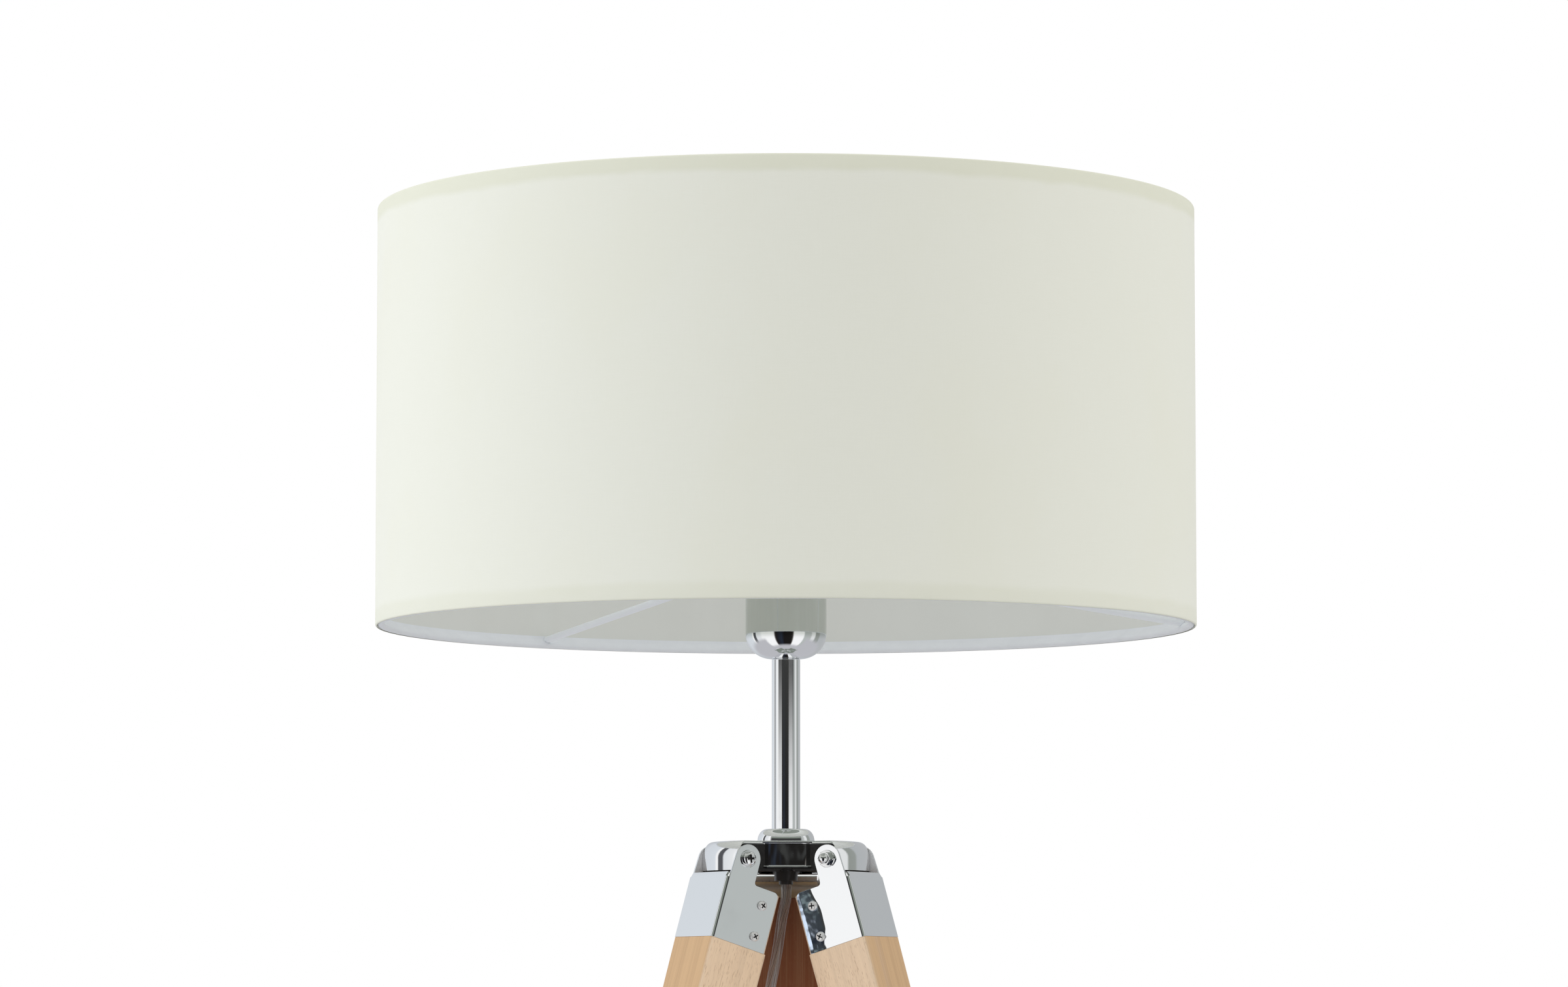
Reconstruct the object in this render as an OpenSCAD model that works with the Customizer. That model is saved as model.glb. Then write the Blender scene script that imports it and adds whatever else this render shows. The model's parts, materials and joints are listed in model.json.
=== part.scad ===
// Tripod floor lamp: three beech legs in folded sheet shoes, hinged to a cast
// head, with a stem, an E27 lampholder and a drum shade on a wire carrier.
// Millimetres, +Z up, the floor at z = 0.

/* [Legs] */
// Height of the leg hinges above the floor
pivot_h = 1142.5; // [900:0.5:1400]
// Distance of each leg hinge from the lamp's axis
pivot_r = 36.3; // [34:0.1:40]
// Lean of a spread leg from the vertical, in degrees
leg_lean = 16.5; // [12:0.5:20]
// Width of a leg at its shoe, across the leg
leg_w = 40.6; // [36:0.2:44]
// Outer face of a leg, measured outwards from its hinge
leg_outer = 10; // [8.5:0.1:11]
// Inner face of a leg, measured inwards from its hinge
leg_inner = 26; // [25:0.1:28]
// Width of a leg at the floor
foot_w = 27; // [22:0.5:34]
// Depth of a leg at the floor
foot_depth = 23; // [20:0.5:30]
// Diameter of the felt pad under a leg
pad_d = 18; // [12:0.5:20]
// Thickness of the felt pad under a leg
pad_t = 3; // [2:0.5:5]

/* [Shoes] */
// Thickness of the shoe's sheet
sheet_t = 1.2; // [0.8:0.1:1.6]
// Distance along the leg from the hinge to the top of the shoe's face
shoe_top = 12.5; // [11.5:0.1:14]
// Length of the shoe along the leg
shoe_len = 34; // [30:0.5:60]
// Inner edge of the side flanges, measured inwards from the hinge
flange_inner = 24; // [22.5:0.1:25]
// Outside radius of the shoe's two long bends
bend_r = 1.6; // [1.3:0.1:2.5]
// Radius of the ear round the hinge bolt
ear_r = 7.8; // [6.5:0.1:8]
// Height of the small stop lip along the top of the shoe
lip_h = 2.7; // [1.5:0.1:3]
// Lean of the stop lip towards the head, from the shoe's face, in degrees
lip_lean = 17.5; // [10:0.5:25]

/* [Fasteners] */
// Diameter of the hinge bolt
bolt_d = 4; // [3:0.5:5]
// Diameter of the hinge bolt's pan head
bolt_head_d = 7.6; // [7:0.1:8]
// Diameter of the washers on the hinge bolt
washer_d = 9.4; // [8.5:0.1:10]
// Thickness of the washers on the hinge bolt
washer_t = 0.8; // [0.5:0.1:1]
// Width across the flats of the hinge bolt's cap nut
cap_nut_af = 7; // [6.5:0.1:8]
// Head diameter of the wood screws in the shoe's flanges
screw_head_d = 5.4; // [4.5:0.1:7]
// Shank diameter of those wood screws
screw_d = 2.6; // [2:0.1:3.2]
// Length of those wood screws in the wood
screw_len = 12; // [8:0.5:14]

/* [Head] */
// Diameter across the outer faces of the cast head's three lugs
head_d = 91.6; // [88:0.2:93]
// Height of the cast head
head_h = 16.5; // [14:0.5:22]
// Height of the leg hinges above the head's underside
pivot_rise = 6.5; // [6:0.1:6.5]
// Distance from the lamp's axis to the flat walls between the lugs
wall_r = 29.7; // [28:0.1:31]
// Depth of the hollow under the head
hollow_depth = 12.5; // [9:0.5:13]
// Diameter of the hollow under the head
hollow_d = 48; // [30:0.5:52]

/* [Stem] */
// Outside diameter of the stem tube
stem_d = 15.5; // [14:0.5:20]
// Wall of the stem tube
stem_wall = 1; // [0.8:0.1:1.5]
// Length of the stem tube between the head and the cup
stem_len = 100.5; // [60:0.5:160]
// Diameter of the collar's foot on the head
collar_d = 31.2; // [28:0.1:36]
// Diameter of the collar's flat top
collar_top_d = 21; // [20.5:0.5:24]
// Height of the collar
collar_h = 7.2; // [5:0.1:10]
// Outside diameter of the threaded pipe through the stem
pipe_d = 10; // [9.5:0.1:10.5]
// Bore of the threaded pipe
pipe_bore = 7; // [6.5:0.1:8]

/* [Lampholder] */
// Outside diameter of the chromed cup
cup_d = 44.5; // [43:0.5:48]
// Height of the chromed cup
cup_h = 50; // [46:0.5:60]
// Wall of the chromed cup
cup_wall = 1; // [0.8:0.1:1.4]
// Radius of the rounded corner at the bottom of the cup
cup_round = 14; // [8:0.5:16]
// Diameter of the holder's skirt
holder_d = 40; // [38:0.5:41]
// Length of the holder from its entry to its mouth
holder_len = 58; // [54:1:62]
// Length of the holder's skirt above the cup
skirt_h = 26; // [22:0.5:34]
// Inside diameter of the screw shell that takes the lamp
shell_bore = 26.6; // [26.2:0.1:27]
// Length of the screw shell
shell_len = 25; // [20:0.5:28]
// Wall of the screw shell
shell_wall = 0.6; // [0.4:0.1:0.8]

/* [Shade] */
// Outside diameter of the shade
shade_d = 450; // [360:1:520]
// Height of the shade
shade_h = 230; // [180:1:300]
// Drop of the shade's bottom edge below the carrier's hub
shade_drop = 34.5; // [25:0.5:36]
// Thickness of the outer cloth
cloth_t = 0.4; // [0.3:0.1:0.8]
// Thickness of the stiff liner behind the cloth
liner_t = 0.7; // [0.5:0.1:1]
// Wire diameter of the shade's two rings
ring_wire = 3; // [2.5:0.1:4]
// Wire diameter of the carrier's arms
arm_wire = 4; // [3:0.1:5]
// Direction of the carrier's first arm, in degrees
arm_turn = 7; // [0:1:15]
// Thickness of the hem tape
tape_t = 0.4; // [0.3:0.1:0.6]
// Height of the hem tape inside the shade
tape_h = 7; // [5.5:0.5:12]

/* [Cord] */
// Outside diameter of the cord
cord_d = 6; // [6:0.5:6.5]
// Length of the foot switch
switch_len = 76; // [76:1:80]
// Width of the foot switch
switch_w = 42; // [38:0.5:44]
// Height of the foot switch without its button
switch_h = 20; // [17:0.5:24]
// Diameter of the switch button
button_d = 24; // [18:0.5:26]
// Height of the button above the cover
button_h = 4; // [3:0.5:6]
// Diameter of the plug's two pins
pin_d = 4; // [3.8:0.1:4.8]
// Length of the plug's two pins
pin_len = 19; // [17:0.5:20]
// Distance between the plug's two pins
pin_gap = 18.6; // [17:0.1:19]

/* [Hidden] */
$fn = 64;

// Clearances
run_gap = 0.05;    // round a shaft that turns or a thread that screws
ear_gap = 0.3;     // between the head's lugs and the ears
slide_gap = 0.25;  // round the switch button
fit_gap = 0.1;     // between pieces that are slipped together
over = 1;          // cutters run past the faces that they cut

// Where the legs stand, as directions round the lamp's axis
left_az = 210;
right_az = 330;
back_az = 90;

// Leg, in its own frame: n outwards from the hinge, s down along the leg
shoe_bottom = shoe_top + shoe_len;
leg_len = pivot_h / cos(leg_lean);
mid_n = (leg_outer - leg_inner) / 2;
foot_outer = mid_n + foot_depth / 2;
outer_slope = (foot_outer - leg_outer) / (leg_len - shoe_bottom);
inner_slope = (foot_depth / 2 - mid_n - leg_inner) / (leg_len - shoe_bottom);
side_slope = (foot_w - leg_w) / 2 / (leg_len - shoe_bottom);
leg_tail = 60;  // the leg's blank runs on this far and is cut level
// Where the outer face of a leg meets its pad, and how far out that is
toe_s = (pivot_h - pad_t + (leg_outer - outer_slope * shoe_bottom) * sin(leg_lean))
    / (cos(leg_lean) - outer_slope * sin(leg_lean));
toe_n = leg_outer + outer_slope * (toe_s - shoe_bottom);
toe_r = pivot_r + toe_s * sin(leg_lean) + toe_n * cos(leg_lean);
foot_r = pivot_r + (pivot_h - pad_t) * tan(leg_lean) + mid_n / cos(leg_lean);

// The lamp's axis stands off the middle of its footprint, because the back
// leg reaches further than the shade does at the front
axis_y = (shade_d / 2 - toe_r) / 2;

// Shoe
wood_w = leg_w - 2 * sheet_t - 2 * fit_gap;
shoulder_n = 9.6;
corner_r = 3;
screw_n = -15.4;
screw_s = [shoe_top + 9.4, shoe_bottom - 7.3];
screw_head_h = 1.9;
lip_inset = 1.8;
end_drop = 0.6;         // of the wood's end below the top of its shoe

// Hinge bolt, from the ear outwards
ear_face = leg_w / 2;
bolt_head_h = 2.4;
cap_nut_h = 3.2;
cap_dome_d = cap_nut_af - 1.2;
bolt_end = ear_face + washer_t + cap_nut_h;

// Head, upwards
head_z = pivot_h - pivot_rise;
head_top = head_z + head_h;
lug_half = ear_face - sheet_t - ear_gap;
shoulder_w = 6;        // width of a lug's rounded shoulder
shoulder_h = 9;        // height of that shoulder
wall_rise = 1.5;       // of the flat walls above the lugs' underside
rim_t = 0.7;           // how far the walls' two rims stand out
rim_h = 1.5;           // height of those rims
boss_r = 9;
recess_h = 4.6;
pipe_nut_af = 14;
pipe_nut_h = 2.8;
pipe_washer_t = 1;
seat_z = head_z + recess_h;
nut_z = seat_z - pipe_washer_t - pipe_nut_h;

// Cord bush
bush_d = 12.8;
bush_h = 5.3;
bush_ring_d = 7.6;
bush_ring_h = 2;
bush_wall = 1.5;
bush_z = nut_z - bush_h - bush_ring_h;
pipe_z = nut_z - bush_h + bush_wall;

// Lampholder, upwards
cup_z = head_top + stem_len;
cup_rim = cup_z + cup_h;
cup_nut_h = 3;
flange_t = 1.5;
hub_z = cup_rim + flange_t;
hub_t = 2;
hub_w = 5.5;
nut_ring_h = 7.5;
nut_ring_w = 3.5;
skirt_r = holder_d / 2;
skirt_top = cup_rim + skirt_h;
holder_z = skirt_top - holder_len;
neck_gap = 1.5;         // between the holder's neck and the cup
neck_r = cup_d / 2 - cup_wall - neck_gap;
shell_r = shell_bore / 2 + shell_wall;
shell_rise = 2;         // of the shell above the floor that it stands over
shell_sink = 2;         // of the shell below the mouth of the skirt
shell_z = skirt_top - shell_sink - shell_len;
floor_z = shell_z - shell_rise;
pipe_grip = 8;
pipe_top = holder_z + pipe_grip;
core_d = 2;
core_gap = 3;
core_top = floor_z - 4;
terminal_r = 9;
terminal_depth = 4;
terminal_shank_r = 1.5;

// Shade
shade_r = shade_d / 2;
shade_z = hub_z - shade_drop;
shade_top = shade_z + shade_h;
liner_r = shade_r - cloth_t;
inside_r = liner_r - liner_t;
ring_r = inside_r - tape_t - ring_wire / 2;
ring_rise = tape_t + ring_wire / 2;
arm_low = arm_wire / 2 + ring_wire / 2 + ring_rise - 0.6;
arm_azs = [for (i = [0:2]) arm_turn + 120 * i];

// Cord: the points of its free stretches, from the lamp's axis
cord_r = cord_d / 2;
drop_route = [
    [0, 0, 1129.5], [0, 0, 1122], [-2, 0, 1112], [-4, 1, 1098], [-6, 1, 1086],
    [-9, 2, 1070], [-12, 4, 1048], [-15, 6, 1020], [-18, 8, 980],
    [-21, 10, 920], [-23, 12, 820], [-24, 13, 700], [-25, 14, 560],
    [-26, 14, 400], [-27, 15, 250], [-29, 16, 150], [-33, 18, 85],
    [-41, 21, 40], [-54, 25, 14], [-70, 28, 5], [-84, 30, 5], [-99, 30, 7],
];
lead_route = [
    [-171, 30, 7], [-182, 30, 6], [-194, 31, 5], [-208, 37, 4],
    [-219, 49, 4], [-223, 64, 4], [-223, 86, 4], [-223, 110, 4],
];
tail_route = [
    [-183, 150, 10], [-172, 150, 10], [-156, 150, 7], [-146.2, 150, 7],
];
coil_at = [-183, 110];
coil_low = 1;
coil_mid_r = 33;
coil_half = 10.5;
coil_h = 12;
tie_t = 0.9;
tie_w = 8;
tie_slack = 0.5;
tie_az = -45;

// Foot switch and plug, where they lie
switch_at = [-135, 30];
switch_wall = 2;
switch_split = 11;      // height where the cover meets the base
switch_stop = 7;        // height of the post that ends the button's travel
boss_x = (switch_len - switch_w) / 2 + 8.5;
screw_boss_r = 3.5;
screw_seat = 5;         // height where the cover's bosses stand on the base's
screw_bite = 7;
head_sink = 2.2;
button_lip = 1.5;
button_travel = 2;
plug_at = [-146, 150];
plug_len = 36;
plug_w = 35;
plug_t = 13.7;
plug_neck_w = 12;
pin_root = 5;

// ---------- shared shapes ----------

// Everything is built round the lamp's axis and set down here
module placed() {
    translate([0, axis_y, 0]) children();
}

// Frame of a leg: X outwards, Y across, Z up along the leg, at its hinge
module in_leg(az) {
    rotate(az) translate([pivot_r, 0, pivot_h]) rotate([0, -leg_lean, 0]) children();
}

// Tube that stands on z = 0
module tube(r, bore_r, h) {
    difference() {
        cylinder(r = r, h = h);
        translate([0, 0, -over]) cylinder(r = bore_r, h = h + 2 * over);
    }
}

// Hexagon nut that stands on z = 0
module hex_nut(af, bore_r, h) {
    difference() {
        cylinder(r = af / 2 / cos(30), h = h, $fn = 6);
        translate([0, 0, -over]) cylinder(r = bore_r, h = h + 2 * over);
    }
}

// Cross recess that sinks below z = 0
module cross_recess(d, depth) {
    for (a = [0, 90])
        rotate(a) translate([-d / 2, -d / 8, -depth]) cube([d, d / 4, depth + over]);
}

// Pan head screw along +Z, its head on z = 0
module pan_screw(head_r, head_h, shank_r, shank_len) {
    difference() {
        union() {
            cylinder(r = head_r, h = head_h * 0.55);
            translate([0, 0, head_h * 0.55]) cylinder(r1 = head_r, r2 = head_r * 0.62, h = head_h * 0.45);
            translate([0, 0, -shank_len]) cylinder(r = shank_r, h = shank_len + head_h / 2);
        }
        translate([0, 0, head_h]) cross_recess(head_r * 1.1, head_h * 0.5);
    }
}

// Straight rod between two points
module rod(p, q, r) {
    d = q - p;
    len = norm(d);
    translate(p) rotate([0, acos(d[2] / len), atan2(d[1], d[0])]) cylinder(r = r, h = len);
}

// Quarter of an ellipse, from its side up to its flat top
function shoulder(r, top, w, h, steps = 10) =
    [for (i = [0:steps]) let (a = 90 * i / steps) [r - w + w * cos(a), top - h + h * sin(a)]];

// Smooth curve through a route's own points, with a ring about every 3 diameters
function along(p, i, u) =
    let (a = p[max(i - 1, 0)], b = p[i], c = p[i + 1], d = p[min(i + 2, len(p) - 1)])
    0.5 * (2 * b + (c - a) * u + (2 * a - 5 * b + 4 * c - d) * u * u
        + (3 * b - a - 3 * c + d) * u * u * u);
function smooth(p) = concat(
    [for (i = [0:len(p) - 2])
        let (n = max(1, round(norm(p[i + 1] - p[i]) / (3 * cord_d))))
        for (k = [0:n - 1]) along(p, i, k / n)],
    [p[len(p) - 1]]);
function unit(v) = v / norm(v);

// Round cord along a route; its rings stand across it, and side is a
// direction that the route never takes
module cord_tube(route, side) {
    sides = 8;
    p = smooth(route);
    last = len(p) - 1;
    points = [for (i = [0:last])
        let (
            t = unit(p[min(i + 1, last)] - p[max(i - 1, 0)]),
            across = unit(cross(t, side)),
            up = cross(across, t)
        )
        for (k = [0:sides - 1])
            let (a = 360 * k / sides)
            p[i] + cord_r * (cos(a) * across + sin(a) * up)];
    faces = concat(
        [[for (k = [0:sides - 1]) sides - 1 - k]],
        [[for (k = [0:sides - 1]) last * sides + k]],
        [for (i = [0:last - 1]) for (k = [0:sides - 1])
            let (a = i * sides + k, b = i * sides + (k + 1) % sides)
            [a, b, b + sides]],
        [for (i = [0:last - 1]) for (k = [0:sides - 1])
            let (a = i * sides + k, b = i * sides + (k + 1) % sides)
            [a, b + sides, a + sides]]);
    polyhedron(points = points, faces = faces);
}

// ---------- head, stem and lampholder ----------

// Three-sided block between the lugs, with its flat walls at r
module wall_block(r, z, h) {
    translate([0, 0, z]) rotate(left_az) cylinder(r = 2 * r, h = h, $fn = 3);
}

module tripod_head() {
    placed() color("gainsboro") difference() {
        intersection() {
            rotate_extrude() polygon(concat([[0, head_z], [head_d / 2, head_z]],
                shoulder(head_d / 2, head_top, shoulder_w, shoulder_h), [[0, head_top]]));
            union() {
                for (az = [left_az, right_az, back_az])
                    rotate(az) translate([0, -lug_half, head_z]) cube([head_d, 2 * lug_half, head_h]);
                wall_block(wall_r, head_z + wall_rise, head_h - wall_rise);
                wall_block(wall_r + rim_t, head_z + wall_rise, rim_h);
                wall_block(wall_r + rim_t, head_top - rim_h, rim_h);
            }
        }
        for (az = [left_az, right_az, back_az]) rotate(az)
            translate([pivot_r, 0, pivot_h]) rotate([90, 0, 0])
                cylinder(r = bolt_d / 2 + run_gap, h = 2 * lug_half + 2 * over, center = true);
        translate([0, 0, head_z - over]) difference() {
            cylinder(r = hollow_d / 2, h = hollow_depth + over);
            translate([0, 0, recess_h + over]) cylinder(r = boss_r, h = hollow_depth);
        }
        translate([0, 0, head_z]) cylinder(r = pipe_d / 2 + run_gap, h = head_h + over);
    }
}

module stem_collar() {
    w = (collar_d - collar_top_d) / 2;
    placed() color("gainsboro") rotate_extrude() polygon(concat(
        [[stem_d / 2 + run_gap, head_top], [collar_d / 2, head_top]],
        shoulder(collar_d / 2, head_top + collar_h, w, collar_h - 0.6),
        [[stem_d / 2 + run_gap, head_top + collar_h]]));
}

module stem_tube() {
    placed() color("gainsboro") translate([0, 0, head_top])
        tube(stem_d / 2, stem_d / 2 - stem_wall, stem_len);
}

module threaded_pipe() {
    placed() color("silver") translate([0, 0, pipe_z])
        tube(pipe_d / 2, pipe_bore / 2, pipe_top - pipe_z);
}

module pipe_washer() {
    placed() color("silver") translate([0, 0, seat_z - pipe_washer_t])
        tube(boss_r - 0.5, pipe_d / 2 + fit_gap, pipe_washer_t);
}

module pipe_nut() {
    placed() color("silver") translate([0, 0, nut_z])
        hex_nut(pipe_nut_af, pipe_d / 2 + run_gap, pipe_nut_h);
}

module cord_bush() {
    placed() color("#1c1c1c") translate([0, 0, bush_z]) difference() {
        union() {
            cylinder(r = bush_ring_d / 2, h = bush_ring_h + over);
            translate([0, 0, bush_ring_h]) cylinder(r = bush_d / 2, h = bush_h);
        }
        translate([0, 0, -over]) cylinder(r = cord_r + run_gap, h = bush_h);
        translate([0, 0, pipe_z - bush_z]) cylinder(r = pipe_d / 2 + run_gap, h = bush_h);
    }
}

// The cord inside the stem, and its two cores up to their terminals
module inner_wires() {
    placed() color("#d8d4c8") {
        translate([0, 0, bush_z]) cylinder(r = cord_r, h = pipe_top - bush_z);
        for (side = [-1, 1])
            translate([side * core_gap / 2, 0, pipe_top - over])
                cylinder(r = core_d / 2, h = core_top - pipe_top + over);
    }
}

// Half section of a cup with a rounded bottom corner
module cup_section(r, corner, h) {
    square([r - corner, h]);
    translate([0, corner]) square([r, h - corner]);
    translate([r - corner, corner]) intersection() {
        circle(r = corner);
        translate([0, -corner]) square(corner);
    }
}

module lampholder_cup() {
    placed() color("gainsboro") translate([0, 0, cup_z]) difference() {
        rotate_extrude() difference() {
            cup_section(cup_d / 2, cup_round, cup_h);
            translate([0, cup_wall]) cup_section(cup_d / 2 - cup_wall, cup_round - cup_wall, cup_h);
        }
        translate([0, 0, -over]) cylinder(r = pipe_d / 2 + fit_gap, h = cup_wall + 2 * over);
    }
}

module cup_nut() {
    placed() color("silver") translate([0, 0, cup_z + cup_wall])
        hex_nut(pipe_nut_af, pipe_d / 2 + run_gap, cup_nut_h);
}

module lampholder_body() {
    placed() color("#e9e6de") difference() {
        union() {
            translate([0, 0, holder_z]) cylinder(r = neck_r, h = cup_rim - holder_z + over);
            translate([0, 0, cup_rim]) cylinder(r = cup_d / 2, h = flange_t);
            translate([0, 0, cup_rim]) cylinder(r = skirt_r, h = skirt_h);
        }
        translate([0, 0, floor_z]) cylinder(r = shell_r + fit_gap, h = skirt_top - floor_z + over);
        translate([0, 0, holder_z - over]) cylinder(r = pipe_d / 2 + run_gap, h = pipe_grip + over);
        for (side = [-1, 1]) {
            translate([side * core_gap / 2, 0, holder_z])
                cylinder(r = core_d / 2 + fit_gap, h = core_top - holder_z);
            translate([side * terminal_r, 0, floor_z - terminal_depth - 0.5])
                cylinder(r = terminal_shank_r + fit_gap, h = terminal_depth + over);
        }
    }
}

module screw_shell() {
    placed() color("#c9b46a") {
        translate([0, 0, shell_z]) tube(shell_r, shell_bore / 2, shell_len);
        for (side = [-1, 1])
            translate([side * (shell_r - shell_wall / 2), 0, floor_z + (shell_rise + fit_gap) / 2])
                cube([shell_wall, 4, shell_rise + fit_gap], center = true);
    }
}

module centre_contact() {
    placed() color("#c9b46a") translate([0, 0, floor_z]) {
        cylinder(r = 4, h = 1);
        translate([0, 0, 0.5]) cylinder(r1 = 3, r2 = 2, h = shell_rise - 0.7);
    }
}

module terminal_screws() {
    placed() color("#c9b46a") for (side = [-1, 1])
        translate([side * terminal_r, 0, floor_z]) pan_screw(2.2, 1.6, terminal_shank_r, terminal_depth);
}

module shade_ring_nut() {
    r = skirt_r + nut_ring_w;
    placed() color("#f4f3ee") translate([0, 0, hub_z + hub_t]) difference() {
        tube(r, skirt_r + run_gap, nut_ring_h);
        for (i = [0:23]) rotate(15 * i) translate([r + 0.3, 0, 1.5]) cylinder(r = 0.9, h = nut_ring_h);
    }
}

// ---------- shade ----------

// One arm of the carrier, grown by a gap where it passes through the hem
module carrier_arm(az, grow) {
    rotate(az) rod(
        [skirt_r + hub_w - 1, 0, hub_z + hub_t / 2],
        [ring_r + 0.5, 0, shade_z + arm_low],
        arm_wire / 2 + grow);
}

module wire_ring(z) {
    translate([0, 0, z]) rotate_extrude() translate([ring_r, 0]) circle(d = ring_wire);
}

module shade_carrier() {
    placed() color("#f6f6f3") {
        difference() {
            union() {
                translate([0, 0, hub_z]) cylinder(r = skirt_r + hub_w, h = hub_t);
                for (az = arm_azs) carrier_arm(az, 0);
            }
            translate([0, 0, hub_z - 5 * over]) cylinder(r = skirt_r + fit_gap, h = hub_t + 10 * over);
        }
        wire_ring(shade_z + ring_rise);
    }
}

module shade_top_ring() {
    placed() color("#f6f6f3") wire_ring(shade_top - ring_rise);
}

module shade_liner() {
    placed() color("#efeee8") translate([0, 0, shade_z]) tube(liner_r, inside_r, shade_h);
}

module shade_cloth() {
    placed() color("#eeefe2") translate([0, 0, shade_z]) tube(shade_r, liner_r, shade_h);
}

// Half section of a hem: tape round the wire and up to the liner
module hem_section() {
    difference() {
        union() {
            translate([ring_r, ring_rise]) circle(r = ring_rise);
            polygon([
                [ring_r - ring_rise, ring_rise], [ring_r - ring_rise + tape_t, ring_rise],
                [inside_r, tape_h], [inside_r - tape_t, tape_h],
            ]);
        }
        translate([ring_r, ring_rise]) circle(d = ring_wire);
    }
}

module shade_hem_top() {
    placed() color("#eeefe2") translate([0, 0, shade_top]) mirror([0, 0, 1])
        rotate_extrude() hem_section();
}

module shade_hem_bottom() {
    placed() color("#f4f4f2") difference() {
        translate([0, 0, shade_z]) rotate_extrude() hem_section();
        for (az = arm_azs) carrier_arm(az, fit_gap);
    }
}

// ---------- legs ----------

// Side view of a leg's blank: rebated where the shoe wraps it, then tapered
module leg_side() {
    run = leg_len + leg_tail - shoe_bottom;
    polygon([
        [-leg_inner, -shoe_top - end_drop],
        [leg_outer - sheet_t - fit_gap, -shoe_top - end_drop],
        [leg_outer - sheet_t - fit_gap, -shoe_bottom - fit_gap],
        [leg_outer, -shoe_bottom - fit_gap],
        [leg_outer + outer_slope * run, -shoe_bottom - run],
        [-leg_inner - inner_slope * run, -shoe_bottom - run],
        [-leg_inner, -shoe_bottom - fit_gap],
    ]);
}

// Front view of the same blank
module leg_front() {
    run = leg_len + leg_tail - shoe_bottom;
    polygon([
        [-wood_w / 2, -shoe_top - end_drop], [wood_w / 2, -shoe_top - end_drop],
        [wood_w / 2, -shoe_bottom - fit_gap], [leg_w / 2, -shoe_bottom - fit_gap],
        [leg_w / 2 + side_slope * run, -shoe_bottom - run],
        [-leg_w / 2 - side_slope * run, -shoe_bottom - run],
        [-leg_w / 2, -shoe_bottom - fit_gap], [-wood_w / 2, -shoe_bottom - fit_gap],
    ]);
}

module leg(az) {
    placed() color("#e1b98f") difference() {
        in_leg(az) difference() {
            intersection() {
                rotate([90, 0, 0]) linear_extrude(leg_w, center = true) leg_side();
                rotate([90, 0, 90]) linear_extrude(4 * leg_inner, center = true) leg_front();
            }
            for (s = screw_s) for (side = [-1, 1])
                translate([screw_n, side * leg_w / 2, -s]) rotate([90, 0, 0])
                    cylinder(r = screw_d / 2 + run_gap, h = 2 * (screw_len + sheet_t + 0.5), center = true);
        }
        rotate(az) translate([0, -leg_w, -2 * leg_tail])
            cube([2 * toe_r, 2 * leg_w, 2 * leg_tail + pad_t]);
    }
}

// Plan of the shoe's channel, with its two long bends
module channel(w, outer, inner, r) {
    translate([-inner, -w / 2]) square([inner + outer - r, w]);
    translate([-inner, -w / 2 + r]) square([inner + outer, w - 2 * r]);
    for (side = [-1, 1]) translate([outer - r, side * (w / 2 - r)]) circle(r = r);
}

// Outline of one ear: round at the bolt, straight down, filleted at the shoulder
module ear_outline() {
    fillet = shoulder_n - ear_r;
    circle(r = ear_r);
    polygon([
        [-ear_r, 0], [ear_r, 0], [leg_outer - bend_r, -shoe_top - over],
        [-ear_r, -shoe_top - over],
    ]);
    difference() {
        translate([-shoulder_n, -shoe_top - over]) square([fillet + 0.5, fillet + over]);
        translate([-shoulder_n, -shoe_top + fillet]) circle(r = fillet);
    }
}

module shoe(az) {
    placed() color("gainsboro") in_leg(az) difference() {
        union() {
            translate([0, 0, -shoe_bottom]) linear_extrude(shoe_len) difference() {
                channel(leg_w, leg_outer, flange_inner, bend_r);
                channel(leg_w - 2 * sheet_t, leg_outer - sheet_t, flange_inner + over, bend_r - sheet_t);
            }
            for (side = [-1, 1])
                translate([0, side * (leg_w - sheet_t) / 2, 0]) rotate([90, 0, 0])
                    linear_extrude(sheet_t, center = true) ear_outline();
            translate([leg_outer, 0, -shoe_top]) rotate([0, -lip_lean, 0])
                translate([-sheet_t, lip_inset - leg_w / 2, -sheet_t / 2])
                    cube([sheet_t, leg_w - 2 * lip_inset, lip_h + sheet_t / 2]);
        }
        rotate([90, 0, 0]) cylinder(r = bolt_d / 2 + run_gap, h = leg_w + 2 * over, center = true);
        for (s = screw_s)
            translate([screw_n, 0, -s]) rotate([90, 0, 0])
                cylinder(r = screw_d / 2 + fit_gap, h = leg_w + 2 * over, center = true);
        rotate([90, 0, 0]) linear_extrude(leg_w + 2 * over, center = true) difference() {
            translate([-flange_inner - over, -shoe_top - corner_r]) square([corner_r + over, corner_r + over]);
            translate([corner_r - flange_inner, -shoe_top - corner_r]) circle(r = corner_r);
        }
    }
}

module shoe_screws(az) {
    placed() color("silver") in_leg(az) for (s = screw_s) for (side = [-1, 1])
        translate([screw_n, side * leg_w / 2, -s]) rotate([-side * 90, 0, 0])
            pan_screw(screw_head_d / 2, screw_head_h, screw_d / 2, screw_len);
}

module pivot_bolt(az) {
    placed() color("silver") in_leg(az) rotate([-90, 0, 0]) {
        translate([0, 0, ear_face]) tube(washer_d / 2, bolt_d / 2 + run_gap, washer_t);
        translate([0, 0, ear_face + washer_t])
            pan_screw(bolt_head_d / 2, bolt_head_h, bolt_d / 2, ear_face + washer_t + bolt_end);
    }
}

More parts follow.
